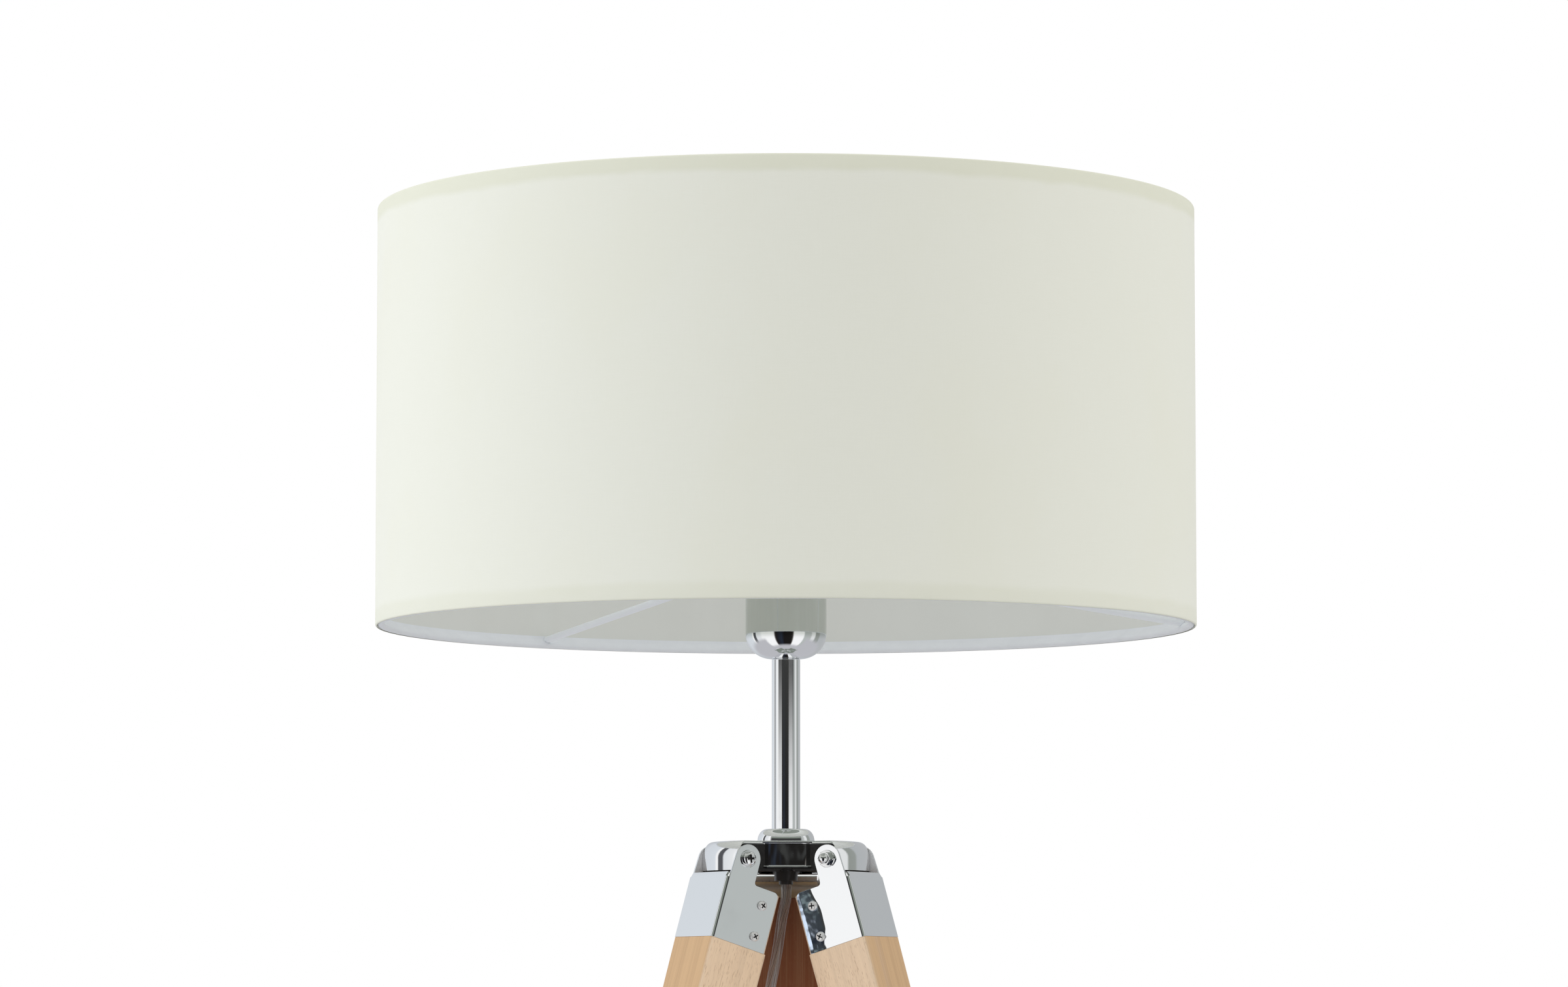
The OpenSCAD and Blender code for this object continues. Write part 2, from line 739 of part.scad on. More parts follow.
module pivot_nut(az) {
    hex_h = cap_nut_h;
    placed() color("silver") in_leg(az) rotate([90, 0, 0]) {
        translate([0, 0, ear_face]) tube(washer_d / 2, bolt_d / 2 + run_gap, washer_t);
        translate([0, 0, ear_face + washer_t]) difference() {
            union() {
                cylinder(r = cap_nut_af / 2 / cos(30), h = hex_h, $fn = 6);
                translate([0, 0, hex_h]) intersection() {
                    sphere(d = cap_dome_d);
                    translate([0, 0, cap_dome_d / 2 - over / 2]) cube(cap_dome_d + over, center = true);
                }
            }
            translate([0, 0, -over]) cylinder(r = bolt_d / 2 + run_gap, h = hex_h + over + 0.2);
        }
    }
}

module foot_pad(az) {
    placed() color("#4a4640") rotate(az) translate([foot_r, 0, 0]) cylinder(d = pad_d, h = pad_t);
}

// ---------- cord, foot switch and plug ----------

module cord_drop() {
    placed() color("#d8d4c8") cord_tube(drop_route, [0, 1, 0]);
}

module cord_lead() {
    placed() color("#d8d4c8") cord_tube(lead_route, [0, 0, 1]);
}

module cord_tail() {
    placed() color("#d8d4c8") cord_tube(tail_route, [0, 0, 1]);
}

// Outer shape of the coiled cord
module cord_coil() {
    placed() color("#d8d4c8") translate([coil_at[0], coil_at[1], coil_low]) rotate_extrude()
        translate([coil_mid_r, 0]) {
            translate([-coil_half, cord_r]) square([2 * coil_half, coil_h - 2 * cord_r]);
            translate([cord_r - coil_half, 0]) square([2 * (coil_half - cord_r), coil_h]);
            for (side = [-1, 1]) for (z = [cord_r, coil_h - cord_r])
                translate([side * (coil_half - cord_r), z]) circle(r = cord_r);
        }
}

module coil_tie() {
    inner = [2 * coil_half + 2 * tie_slack, tie_w + 2 * over, coil_h + 2 * fit_gap];
    placed() color("#2b2b2b") translate([coil_at[0], coil_at[1], coil_low + coil_h / 2])
        rotate(tie_az) translate([coil_mid_r, 0, 0]) difference() {
            cube([inner[0] + 2 * tie_t, tie_w, inner[2] + 2 * tie_t], center = true);
            cube(inner, center = true);
        }
}

// Plan of the foot switch: a slot shape, drawn smaller by an inset
module switch_plan(inset) {
    r = switch_w / 2 - inset;
    straight = switch_len - switch_w;
    translate([-straight / 2, -r]) square([straight, 2 * r]);
    for (side = [-1, 1]) translate([side * straight / 2, 0]) circle(r = r);
}

module in_switch() {
    placed() translate([switch_at[0], switch_at[1], 0]) children();
}

module switch_base() {
    color("#e8e8e4") in_switch() difference() {
        union() {
            difference() {
                linear_extrude(switch_split) switch_plan(0);
                translate([0, 0, switch_wall]) linear_extrude(switch_split) switch_plan(switch_wall);
            }
            cylinder(r = 5, h = switch_stop);
            for (side = [-1, 1]) translate([side * boss_x, 0, 0])
                cylinder(r = screw_boss_r, h = screw_seat);
        }
        for (side = [-1, 1]) translate([side * boss_x, 0, -over]) {
            cylinder(r = 2.7 + fit_gap, h = head_sink + over);
            cylinder(r = 1.2 + fit_gap, h = screw_seat + 2 * over);
        }
    }
}

module switch_cover() {
    color("#f1f1ee") in_switch() difference() {
        union() {
            translate([0, 0, switch_split]) linear_extrude(switch_h - switch_split - 2) switch_plan(0);
            translate([0, 0, switch_h - 2]) linear_extrude(2) switch_plan(1.5);
        }
        translate([0, 0, switch_split - over])
            linear_extrude(switch_h - switch_split - switch_wall + over) switch_plan(switch_wall);
        translate([0, 0, switch_split]) cylinder(r = button_d / 2 + slide_gap, h = switch_h);
    }
    color("#f1f1ee") in_switch() for (side = [-1, 1]) translate([side * boss_x, 0, screw_seat])
        difference() {
            cylinder(r = screw_boss_r, h = switch_h - switch_wall - screw_seat);
            translate([0, 0, -over]) cylinder(r = 1.2 + run_gap, h = screw_bite + 2 * over);
        }
}

module switch_button() {
    color("#c9cac6") in_switch() {
        translate([0, 0, switch_h - switch_wall - 2.5]) cylinder(d = button_d, h = switch_wall + 2.5 + button_h);
        translate([0, 0, switch_h - switch_wall - slide_gap - button_lip])
            cylinder(r = button_d / 2 + slide_gap + 1.2, h = button_lip);
        translate([0, 0, switch_stop + button_travel + 0.5])
            cylinder(r = 2.5, h = switch_h - switch_wall - 2 - switch_stop - button_travel);
    }
}

module switch_contacts() {
    color("#c9b46a") in_switch() for (side = [-1, 1])
        translate([0, side * 10, switch_wall + 2]) cube([16, 4, 4], center = true);
}

module switch_screws() {
    color("silver") in_switch() for (side = [-1, 1])
        translate([side * boss_x, 0, head_sink]) rotate([180, 0, 0])
            pan_screw(2.7, 1.6, 1.2, screw_seat + screw_bite - head_sink);
}

// Plan of the plug's body, from the cord's end to the face with the pins
module plug_plan() {
    polygon([
        [0, -plug_neck_w / 2], [plug_len * 0.45, -plug_neck_w / 2 - 2], [plug_len * 0.75, -plug_w / 2],
        [plug_len, -plug_w / 2], [plug_len, plug_w / 2], [plug_len * 0.75, plug_w / 2],
        [plug_len * 0.45, plug_neck_w / 2 + 2], [0, plug_neck_w / 2],
    ]);
}

module in_plug() {
    placed() translate([plug_at[0], plug_at[1], plug_t / 2]) children();
}

module plug_body() {
    color("#f1f1ee") in_plug() difference() {
        linear_extrude(plug_t, center = true) plug_plan();
        for (side = [-1, 1]) translate([plug_len - pin_root, side * pin_gap / 2, 0]) rotate([0, 90, 0])
            cylinder(r = pin_d / 2 - 0.5 + run_gap, h = pin_root + over);
    }
}

module plug_pins() {
    color("silver") in_plug() for (side = [-1, 1])
        translate([plug_len, side * pin_gap / 2, 0]) rotate([0, 90, 0]) {
            cylinder(d = pin_d, h = pin_len);
            translate([0, 0, -pin_root]) cylinder(r = pin_d / 2 - 0.5, h = pin_root + over);
        }
}

tripod_head();
stem_collar();
stem_tube();
threaded_pipe();
pipe_washer();
pipe_nut();
cord_bush();
inner_wires();
lampholder_cup();
cup_nut();
lampholder_body();
screw_shell();
centre_contact();
terminal_screws();
shade_ring_nut();
shade_carrier();
shade_top_ring();
shade_liner();
shade_cloth();
shade_hem_top();
shade_hem_bottom();
leg(left_az);  // leg_left
leg(right_az);  // leg_right
leg(back_az);  // leg_back
shoe(left_az);  // shoe_left
shoe(right_az);  // shoe_right
shoe(back_az);  // shoe_back
shoe_screws(left_az);  // shoe_screws_left
shoe_screws(right_az);  // shoe_screws_right
shoe_screws(back_az);  // shoe_screws_back
pivot_bolt(left_az);  // pivot_bolt_left
pivot_bolt(right_az);  // pivot_bolt_right
pivot_bolt(back_az);  // pivot_bolt_back
pivot_nut(left_az);  // pivot_nut_left
pivot_nut(right_az);  // pivot_nut_right
pivot_nut(back_az);  // pivot_nut_back
foot_pad(left_az);  // foot_pad_left
foot_pad(right_az);  // foot_pad_right
foot_pad(back_az);  // foot_pad_back
cord_drop();
cord_lead();
cord_coil();
cord_tail();
coil_tie();
switch_base();
switch_cover();
switch_button();
switch_contacts();
switch_screws();
plug_body();
plug_pins();
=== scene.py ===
"""Dresses the tripod floor lamp: beech legs, chromed metal, an ivory drum shade and a clear cord."""

import json
import logging
import math
from collections.abc import Iterable, Sequence
from dataclasses import dataclass, field
from enum import Enum

import bmesh
import bpy
from mathutils import Matrix, Vector


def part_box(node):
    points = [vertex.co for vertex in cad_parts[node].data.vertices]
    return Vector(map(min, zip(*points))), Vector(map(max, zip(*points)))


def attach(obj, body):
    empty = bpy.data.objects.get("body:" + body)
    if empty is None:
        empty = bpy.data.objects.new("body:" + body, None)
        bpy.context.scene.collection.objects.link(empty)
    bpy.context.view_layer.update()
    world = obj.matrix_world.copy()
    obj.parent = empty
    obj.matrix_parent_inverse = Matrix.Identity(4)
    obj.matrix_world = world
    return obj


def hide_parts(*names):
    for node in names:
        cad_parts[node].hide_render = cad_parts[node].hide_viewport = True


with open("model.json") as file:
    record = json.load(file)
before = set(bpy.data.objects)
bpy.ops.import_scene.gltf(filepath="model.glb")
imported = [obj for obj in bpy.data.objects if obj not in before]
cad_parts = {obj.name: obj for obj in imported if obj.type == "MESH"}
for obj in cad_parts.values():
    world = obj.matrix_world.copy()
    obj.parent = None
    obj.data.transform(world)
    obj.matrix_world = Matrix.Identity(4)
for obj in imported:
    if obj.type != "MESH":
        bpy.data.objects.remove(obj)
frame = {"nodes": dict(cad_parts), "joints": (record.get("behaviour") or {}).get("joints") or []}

log = logging.getLogger("floor_lamp")

Triple = tuple[float, float, float]
RGB = Triple
Profile = Sequence[tuple[float, float]]
Sockets = dict[str | int, object]
MM = 0.001


def polar(radius: float, angle: float, height: float) -> Vector:
    """The point at a radius, an angle round Z and a height."""
    return Vector((radius * math.cos(angle), radius * math.sin(angle), height))


def swung(x: float, y: float, angle: float, height: float) -> Vector:
    """The point (x, y) after a swing round Z, at a height."""
    c, s = math.cos(angle), math.sin(angle)
    return Vector((x * c - y * s, x * s + y * c, height))


def circle(radius: float, height: float, steps: int) -> list[Vector]:
    """Points round Z at a height, from the X axis on."""
    return [polar(radius, 2 * math.pi * k / steps, height) for k in range(steps)]


# ---------------------------------------------------------------- shader maths


class Value:
    """A shader socket that takes part in arithmetic."""

    def __init__(self, graph: "Graph", socket: bpy.types.NodeSocket) -> None:
        """Wraps a socket of a graph."""
        self.graph = graph
        self.socket = socket

    def _math(self, operation: str, *terms: "Value | float") -> "Value":
        """Adds a Math node.

        Args:
            operation: the node's operation.
            terms: what goes into its sockets, in order.

        Returns:
            The node's result.
        """
        return self.graph.add("ShaderNodeMath", {"operation": operation}, dict(enumerate(terms)))

    def __add__(self, other: "Value | float") -> "Value":
        """Sum."""
        return self._math("ADD", self, other)

    def __radd__(self, other: "Value | float") -> "Value":
        """Reflected sum."""
        return self._math("ADD", other, self)

    def __sub__(self, other: "Value | float") -> "Value":
        """Difference."""
        return self._math("SUBTRACT", self, other)

    def __rsub__(self, other: "Value | float") -> "Value":
        """Reflected difference."""
        return self._math("SUBTRACT", other, self)

    def __mul__(self, other: "Value | float") -> "Value":
        """Product."""
        return self._math("MULTIPLY", self, other)

    def __rmul__(self, other: "Value | float") -> "Value":
        """Reflected product."""
        return self._math("MULTIPLY", other, self)

    def __truediv__(self, other: "Value | float") -> "Value":
        """Quotient."""
        return self._math("DIVIDE", self, other)

    def __abs__(self) -> "Value":
        """Size without its sign."""
        return self._math("ABSOLUTE", self)

    def sine(self) -> "Value":
        """Sine of an angle in radians."""
        return self._math("SINE", self)

    def larger(self, other: "Value | float") -> "Value":
        """The larger of the two."""
        return self._math("MAXIMUM", self, other)

    def angle_to(self, other: "Value | float") -> "Value":
        """Angle in radians whose tangent is this value over the other."""
        return self._math("ARCTAN2", self, other)

    def ramp(self, low: float, high: float, start: float = 0.0, end: float = 1.0) -> "Value":
        """Maps a range to another with a soft start and end.

        Args:
            low: the value that gives start.
            high: the value that gives end.
            start: the result at low.
            end: the result at high.

        Returns:
            The mapped value, held within its limits.
        """
        return self.graph.add(
            "ShaderNodeMapRange",
            {"interpolation_type": "SMOOTHSTEP"},
            {"Value": self, "From Min": low, "From Max": high, "To Min": start, "To Max": end},
        )

    def output(self, name: str | int) -> "Value":
        """Another output of the same node."""
        return Value(self.graph, self.socket.node.outputs[name])


class Graph:
    """A node tree that is built from expressions."""

    def __init__(self, tree: bpy.types.NodeTree) -> None:
        """Starts the tree afresh."""
        self.tree = tree
        tree.nodes.clear()

    def add(
        self,
        kind: str,
        settings: dict[str, object] | None = None,
        sockets: Sockets | None = None,
        out: str | int = 0,
    ) -> Value:
        """Adds a node.

        Args:
            kind: the node's type.
            settings: its properties, set first; "stops" are a ramp's positions and colours.
            sockets: a number, a colour or a Value for each socket that isn't left alone.
            out: the output that is returned.

        Returns:
            The chosen output.
        """
        node = self.tree.nodes.new(kind)
        for name, value in (settings or {}).items():
            if name == "stops":
                self._set_stops(node.color_ramp, value)
            else:
                setattr(node, name, value)
        for name, value in (sockets or {}).items():
            socket = node.inputs[name]
            if isinstance(value, Value):
                self.tree.links.new(value.socket, socket)
            elif socket.type == "RGBA" and len(value) == 3:
                socket.default_value = (*value, 1.0)
            else:
                socket.default_value = value
        return Value(self, node.outputs[out]) if len(node.outputs) else Value(self, None)

    @staticmethod
    def _set_stops(ramp: bpy.types.ColorRamp, stops: Sequence[tuple[float, RGB]]) -> None:
        """Gives a ramp its stops.

        Args:
            ramp: the ramp.
            stops: their places, in rising order, and colours.
        """
        while len(ramp.elements) > 1:
            ramp.elements.remove(ramp.elements[0])
        for i, (place, colour) in enumerate(stops):
            stop = ramp.elements[0] if i == 0 else ramp.elements.new(place)
            stop.position = place
            stop.color = (*colour, 1.0)

    def mix(self, low: object, high: object, share: Value | float) -> Value:
        """Blends two colours.

        Args:
            low: the colour at share 0.
            high: the colour at share 1.
            share: how far towards high.

        Returns:
            The blended colour.
        """
        return self.add("ShaderNodeMix", {"data_type": "RGBA"}, {0: share, 6: low, 7: high}, 2)

    def place(self) -> Value:
        """The point on the surface, in the object's own frame, in metres."""
        return self.add("ShaderNodeTexCoord", out="Object")

    def stretched(self, point: Value, scale: Triple) -> Value:
        """The point with each axis scaled."""
        return self.add("ShaderNodeVectorMath", {"operation": "MULTIPLY"}, {0: point, 1: scale})

    def noise(self, point: Value, scale: float = 1.0, detail: float = 2.0, rough: float = 0.5) -> Value:
        """Smooth noise from 0 to 1 over a point."""
        sockets = {"Vector": point, "Scale": scale, "Detail": detail, "Roughness": rough}
        return self.add("ShaderNodeTexNoise", None, sockets)

    def grain(self, point: Value, scale: Triple, detail: float = 2.0, rough: float = 0.5) -> Value:
        """Smooth noise from 0 to 1 over a point, with a scale of its own along each axis."""
        return self.noise(self.stretched(point, scale), 1.0, detail, rough)

    def apart(self, point: Value) -> Value:
        """A point or a direction, whose X, Y and Z are its node's outputs."""
        return self.add("ShaderNodeSeparateXYZ", None, {"Vector": point})

    def facing(self) -> Value:
        """The surface's direction in the object's own frame, taken apart."""
        return self.apart(self.add("ShaderNodeTexCoord", out="Normal"))

    def bump(self, height: Value, depth: float) -> Value:
        """Normal of a relief whose height runs from 0 to depth metres."""
        sockets = {"Height": height, "Distance": depth, "Strength": 1.0}
        return self.add("ShaderNodeBump", None, sockets, "Normal")


# -------------------------------------------------------------------- finishes


@dataclass(frozen=True)
class Finish:
    """A surface finish; what varies over it is added by a subclass's vary method."""

    name: str
    colour: RGB
    roughness: float = 0.5
    metallic: float = 0.0
    coat: float = 0.0
    sheen: float = 0.0
    alpha: float = 1.0
    coat_roughness: float = 0.12
    sheen_roughness: float = 0.5

    def vary(self, graph: Graph) -> Sockets:
        """Sockets that change over the surface.

        Args:
            graph: the material's graph.

        Returns:
            A value for each such socket.
        """
        soft = graph.noise(graph.place(), 60.0, 3.0)
        return {"Roughness": self.roughness * (0.85 + 0.3 * soft)}

    def make(self) -> bpy.types.Material:
        """Builds the material.

        Returns:
            The new material.
        """
        material = bpy.data.materials.new(self.name)
        material.use_nodes = True
        graph = Graph(material.node_tree)
        sockets: Sockets = {
            "Base Color": self.colour,
            "Roughness": self.roughness,
            "Metallic": self.metallic,
            "Coat Weight": self.coat,
            "Coat Roughness": self.coat_roughness,
            "Sheen Weight": self.sheen,
            "Sheen Roughness": self.sheen_roughness,
            "Alpha": self.alpha,
        }
        sockets.update(self.vary(graph))
        shader = graph.add("ShaderNodeBsdfPrincipled", None, sockets)
        graph.add("ShaderNodeOutputMaterial", None, {"Surface": shader})
        return material


@dataclass(frozen=True)
class Chrome(Finish):
    """Bright chrome plate, with the slight waves of what lies under it and a few smudges."""

    colour: RGB = (0.90, 0.91, 0.92)
    roughness: float = 0.035
    metallic: float = 1.0
    wave: float = 60.0
    wave_depth: float = 0.000004
    drawn: float = 1.0
    smudges: float = 0.06

    def vary(self, graph: Graph) -> Sockets:
        """Waves in the relief, and smudges in the gloss.

        Args:
            graph: the material's graph.

        Returns:
            A value for each socket that varies.
        """
        point = graph.place()
        smudge = graph.noise(point, 38.0, 4.0, 0.6).ramp(0.5, 0.75)
        waves = graph.noise(graph.stretched(point, (1.0, 1.0, self.drawn)), self.wave, 1.0)
        return {
            "Roughness": self.roughness + self.smudges * smudge,
            "Normal": graph.bump(waves, self.wave_depth),
        }


@dataclass(frozen=True)
class CupChrome(Chrome):
    """Chrome on a drawn cup whose upright side is painted darker than its rounding, a painted shade in its
    reflection.
    """

    # painted shade: the darker colour that the upright side's reflection is blended towards
    side: RGB = (0.60, 0.625, 0.595)

    def vary(self, graph: Graph) -> Sockets:
        """The chrome's own waves and smudges, and the duller side.

        Args:
            graph: the material's graph.

        Returns:
            The chrome's own waves and smudges, and the painted shade on the upright side.
        """
        ways = graph.facing()
        shaded_upright = 1.0 - abs(ways.output("Z")).ramp(0.04, 0.30)
        streaks = graph.grain(graph.place(), (160.0, 160.0, 14.0), 2.0)
        sockets = super().vary(graph)
        # painted shade on the upright side, streaked
        sockets["Base Color"] = graph.mix(self.colour, self.side, shaded_upright * (0.85 + 0.3 * streaks))
        return sockets


@dataclass(frozen=True)
class RolledChrome(Chrome):
    """Chrome on thin sheet whose free edge, at negative X in its own frame, came out a little rolled; the
    rolled part's colour carries a painted bluish reflection.
    """

    roll_from: float = -0.0125
    roll: float = 0.36
    roll_soft: float = 0.0034
    rim_from: float = -0.0216
    rim_soft: float = 0.0005
    wander: float = 0.009
    mottle: float = 0.0004
    # painted reflection: the bluish colour that the rolled part is blended towards
    tint: RGB = (0.70, 0.82, 1.0)
    dull: float = 0.11
    scuffed: float = 0.20
    fade: float = 0.003

    def vary(self, graph: Graph) -> Sockets:
        """The chrome's smudges, with the roll in the relief and a painted bluish reflection in the rolled
        part's colour.

        Args:
            graph: the material's graph.

        Returns:
            A value for each socket that varies.
        """
        point = graph.place()
        parts = graph.apart(point)
        dents = graph.noise(point, 60.0, 0.0)
        start = self.roll_from + self.wander * (dents - 0.5)
        past = (start - parts.output("X")).larger(0.0)
        waves = graph.noise(point, self.wave, 1.0)
        scuffs = graph.grain(point, (500.0, 500.0, 160.0), 3.0, 0.6)
        rolled = past.ramp(0.0, self.fade)
        sockets = super().vary(graph)
        duller = self.dull + self.scuffed * scuffs.ramp(0.55, 0.80)
        sockets["Roughness"] = self.roughness + rolled * duller
        # painted bluish reflection on the rolled part
        sockets["Base Color"] = graph.mix(self.colour, self.tint, rolled)
        rim = (self.rim_from - parts.output("X")).larger(0.0)
        fall = past * past / (past + self.roll_soft) - rim * rim / (rim + self.rim_soft)
        mottles = graph.noise(point, 170.0, 1.0)
        height = self.roll * fall + self.wave_depth * waves + self.mottle * (rolled * mottles)
        sockets["Normal"] = graph.bump(height, 1.0)
        return sockets


@dataclass(frozen=True)
class ZincSteel(Finish):
    """Zinc plated hardware, duller in its grain than chrome."""

    colour: RGB = (0.72, 0.72, 0.71)
    roughness: float = 0.2
    metallic: float = 1.0

    def vary(self, graph: Graph) -> Sockets:
        """Fine grain in gloss and tone.

        Args:
            graph: the material's graph.

        Returns:
            A value for each socket that varies.
        """
        grain = graph.noise(graph.place(), 900.0, 2.0)
        tone = graph.noise(graph.place(), 250.0, 2.0)
        low, high = (tuple(c * share for c in self.colour) for share in (0.84, 1.12))
        return {
            "Base Color": graph.mix(low, high, tone),
            "Roughness": self.roughness * (0.7 + 0.8 * grain),
        }


@dataclass(frozen=True)
class Satin(Finish):
    """Unpolished metal with a fine drawn grain."""

    relief: float = 0.00001

    def vary(self, graph: Graph) -> Sockets:
        """Streaks in gloss and relief.

        Args:
            graph: the material's graph.

        Returns:
            A value for each socket that varies.
        """
        streaks = graph.grain(graph.place(), (1200.0, 1200.0, 90.0), 3.0)
        return {
            "Roughness": self.roughness * (0.8 + 0.4 * streaks),
            "Normal": graph.bump(streaks, self.relief),
        }


@dataclass(frozen=True)
class Beech(Finish):
    """Satin lacquered beech; its object's Z runs along the grain, and Y across the outer face; its inner
    face, towards the lamp's axis, has painted shade.
    """

    colour: RGB = (0.66, 0.425, 0.215)
    side: RGB = (0.92, 0.69, 0.475)
    # painted shade: the dark red-brown of the legs' inner faces
    inner_shade: RGB = (0.24, 0.070, 0.018)
    dark: RGB = (0.40, 0.215, 0.105)
    pale: RGB = (0.82, 0.64, 0.46)
    roughness: float = 0.40
    coat: float = 0.18
    seed: float = 0.0
    relief: float = 0.00002
    broad: Triple = (30.0, 30.0, 1.3)
    bands: Triple = (260.0, 260.0, 2.2)
    lines: Triple = (1500.0, 1500.0, 9.0)
    fibres: Triple = (3600.0, 3600.0, 40.0)
    flecks: Triple = (3000.0, 3000.0, 260.0)
    patches: Triple = (420.0, 420.0, 60.0)

    def vary(self, graph: Graph) -> Sockets:
        """Straight lines on the faces across the rings, and short dark flecks on those along them.

        Args:
            graph: the material's graph.

        Returns:
            A value for each socket that varies.
        """
        shift = {0: graph.place(), 1: (0.0, self.seed, self.seed)}
        point = graph.add("ShaderNodeVectorMath", {"operation": "ADD"}, shift)
        ways = graph.facing()
        flat = abs(ways.output("Y"))
        side = flat.ramp(0.45, 0.80)
        arris = (flat * abs(ways.output("X"))).ramp(0.16, 0.42)
        broad = graph.grain(point, self.broad, 2.0)
        bands = graph.grain(point, self.bands, 3.0, 0.55)
        lines = graph.grain(point, self.lines, 3.0, 0.6)
        fibres = graph.grain(point, self.fibres, 2.0, 0.6)
        flecks = graph.grain(point, self.flecks, 1.0).ramp(0.60, 0.69)
        patches = graph.grain(point, self.patches, 2.0).ramp(0.30, 0.56)
        tone = graph.mix(self.colour, self.side, side)
        # painted shade: each leg's inner face is blended to dark red-brown and loses its coat
        inner = (0.0 - ways.output("X")).ramp(0.55, 0.90)
        tone = graph.mix(tone, self.inner_shade, inner)
        light = 0.45 * arris + 0.35 * (0.6 * broad + 0.4 * bands).ramp(0.50, 0.66)
        tone = graph.mix(tone, self.pale, light)
        across = (0.5 * lines + 0.5 * bands).ramp(0.44, 0.62)
        tone = graph.mix(tone, self.dark, (0.34 - 0.22 * side) * across + 0.05 * fibres)
        tone = graph.mix(tone, self.dark, flecks * patches * (0.12 + 0.38 * side + 0.10 * inner))
        height = 1.0 - 0.5 * flecks * side - 0.3 * fibres - 0.3 * lines
        return {
            "Base Color": tone,
            "Roughness": self.roughness + 0.10 * fibres,
            "Coat Weight": self.coat * (1.0 - inner),
            "Normal": graph.bump(height, self.relief),
        }


@dataclass(frozen=True)
class Cotton(Finish):
    """Plain woven cotton on a drum that stands round the object's own Z axis."""

    colour: RGB = (0.845, 0.855, 0.765)
    roughness: float = 0.85
    sheen: float = 0.12
    drum_r: float = 0.225
    thread: float = 0.00042
    middle: float = 1.385
    half_h: float = 0.115
    hem_h: float = 0.008
    hem_below: float = 0.0028
    hem_above: float = 0.0016
    hem_wander: float = 0.005
    thread_dark: RGB = (0.815, 0.825, 0.725)
    thread_light: RGB = (0.865, 0.875, 0.795)
    cloudy: RGB = (0.83, 0.835, 0.72)
    glued: RGB = (0.775, 0.785, 0.655)
    relief: float = 0.00005
    slubs: Triple = (70.0, 1900.0, 1.0)
    ribs: Triple = (1900.0, 70.0, 1.0)
    clouds: Triple = (14.0, 10.0, 1.0)
    glue: Triple = (45.0, 160.0, 1.0)
    soak: Triple = (22.0, 60.0, 1.0)

    def vary(self, graph: Graph) -> Sockets:
        """Warp and weft, thick and thin threads, and a faint cloudiness.

        Args:
            graph: the material's graph.

        Returns:
            A value for each socket that varies.
        """
        parts = graph.apart(graph.place())
        round_way = parts.output("Y").angle_to(parts.output("X")) * self.drum_r
        up_way = parts.output("Z")
        turn = 2 * math.pi / self.thread
        warp = (round_way * turn).sine()
        weft = (up_way * turn).sine()
        weave = 0.5 + 0.25 * (warp * weft) + 0.12 * warp + 0.13 * weft
        flat = graph.add("ShaderNodeCombineXYZ", None, {"X": round_way, "Y": up_way, "Z": 0.0})
        slub = graph.grain(flat, self.slubs, 2.0)
        rib = graph.grain(flat, self.ribs, 2.0)
        cloud = graph.grain(flat, self.clouds, 3.0)
        shade = 0.35 * weave + 0.35 * slub + 0.30 * rib
        tone = graph.mix(self.thread_dark, self.thread_light, shade)
        tone = graph.mix(tone, self.cloudy, 0.35 * cloud.ramp(0.45, 0.7))
        above = up_way - self.middle
        glue = graph.grain(flat, self.glue, 2.0)
        soak = graph.grain(flat, self.soak, 3.0, 0.6)
        off = abs(above) + self.hem_wander * (soak - 0.5)
        edge = self.half_h - self.hem_h
        hem = off.ramp(edge - self.hem_below, edge + self.hem_above)
        strength = 0.28 + 0.54 * above.ramp(0.0, 0.05) + 0.30 * glue
        tone = graph.mix(tone, self.glued, hem * strength)
        height = 0.6 * weave + 0.2 * slub + 0.2 * rib + 0.8 * hem
        return {"Base Color": tone, "Normal": graph.bump(height, self.relief)}


@dataclass(frozen=True)
class Tape(Finish):
    """Smooth hem tape with a fine ribbed edge."""

    colour: RGB = (0.86, 0.89, 0.93)
    roughness: float = 0.5
    drum_r: float = 0.222
    rib_pitch: float = 0.0006
    dark: RGB = (0.82, 0.85, 0.89)
    light: RGB = (0.90, 0.93, 0.97)
    relief: float = 0.00003

    def vary(self, graph: Graph) -> Sockets:
        """Fine ribs across the tape.

        Args:
            graph: the material's graph.

        Returns:
            A value for each socket that varies.
        """
        parts = graph.apart(graph.place())
        round_way = parts.output("Y").angle_to(parts.output("X")) * self.drum_r
        rib = 0.5 + 0.5 * (round_way * (2 * math.pi / self.rib_pitch)).sine()
        tone = graph.noise(graph.place(), 90.0, 2.0)
        return {
            "Base Color": graph.mix(self.dark, self.light, tone),
            "Normal": graph.bump(rib, self.relief),
        }


@dataclass(frozen=True)
class Styrene(Finish):
    """Matt white sheet behind the cloth, faintly mottled by the glue."""

    colour: RGB = (0.80, 0.815, 0.775)
    roughness: float = 0.6
    dark: RGB = (0.77, 0.785, 0.745)
    light: RGB = (0.83, 0.845, 0.81)
    relief: float = 0.00002

    def vary(self, graph: Graph) -> Sockets:
        """Glue shadows and a fine pebble in the surface.

        Args:
            graph: the material's graph.

        Returns:
            A value for each socket that varies.
        """
        point = graph.place()
        glue = graph.grain(point, (30.0, 30.0, 12.0), 4.0)
        pebble = graph.noise(point, 1400.0, 2.0)
        return {
            "Base Color": graph.mix(self.dark, self.light, glue),
            "Normal": graph.bump(pebble, self.relief),
        }


@dataclass(frozen=True)
class Moulded(Finish):
    """Moulded plastic with a fine spark-eroded texture."""

    grain: float = 1800.0
    relief: float = 0.00001

    def vary(self, graph: Graph) -> Sockets:
        """Fine texture in relief and gloss.

        Args:
            graph: the material's graph.

        Returns:
            A value for each socket that varies.
        """
        grain = graph.noise(graph.place(), self.grain, 2.0)
        wear = graph.noise(graph.place(), 45.0, 3.0)
        return {
            "Roughness": self.roughness * (0.9 + 0.2 * wear),
            "Normal": graph.bump(grain, self.relief),
        }


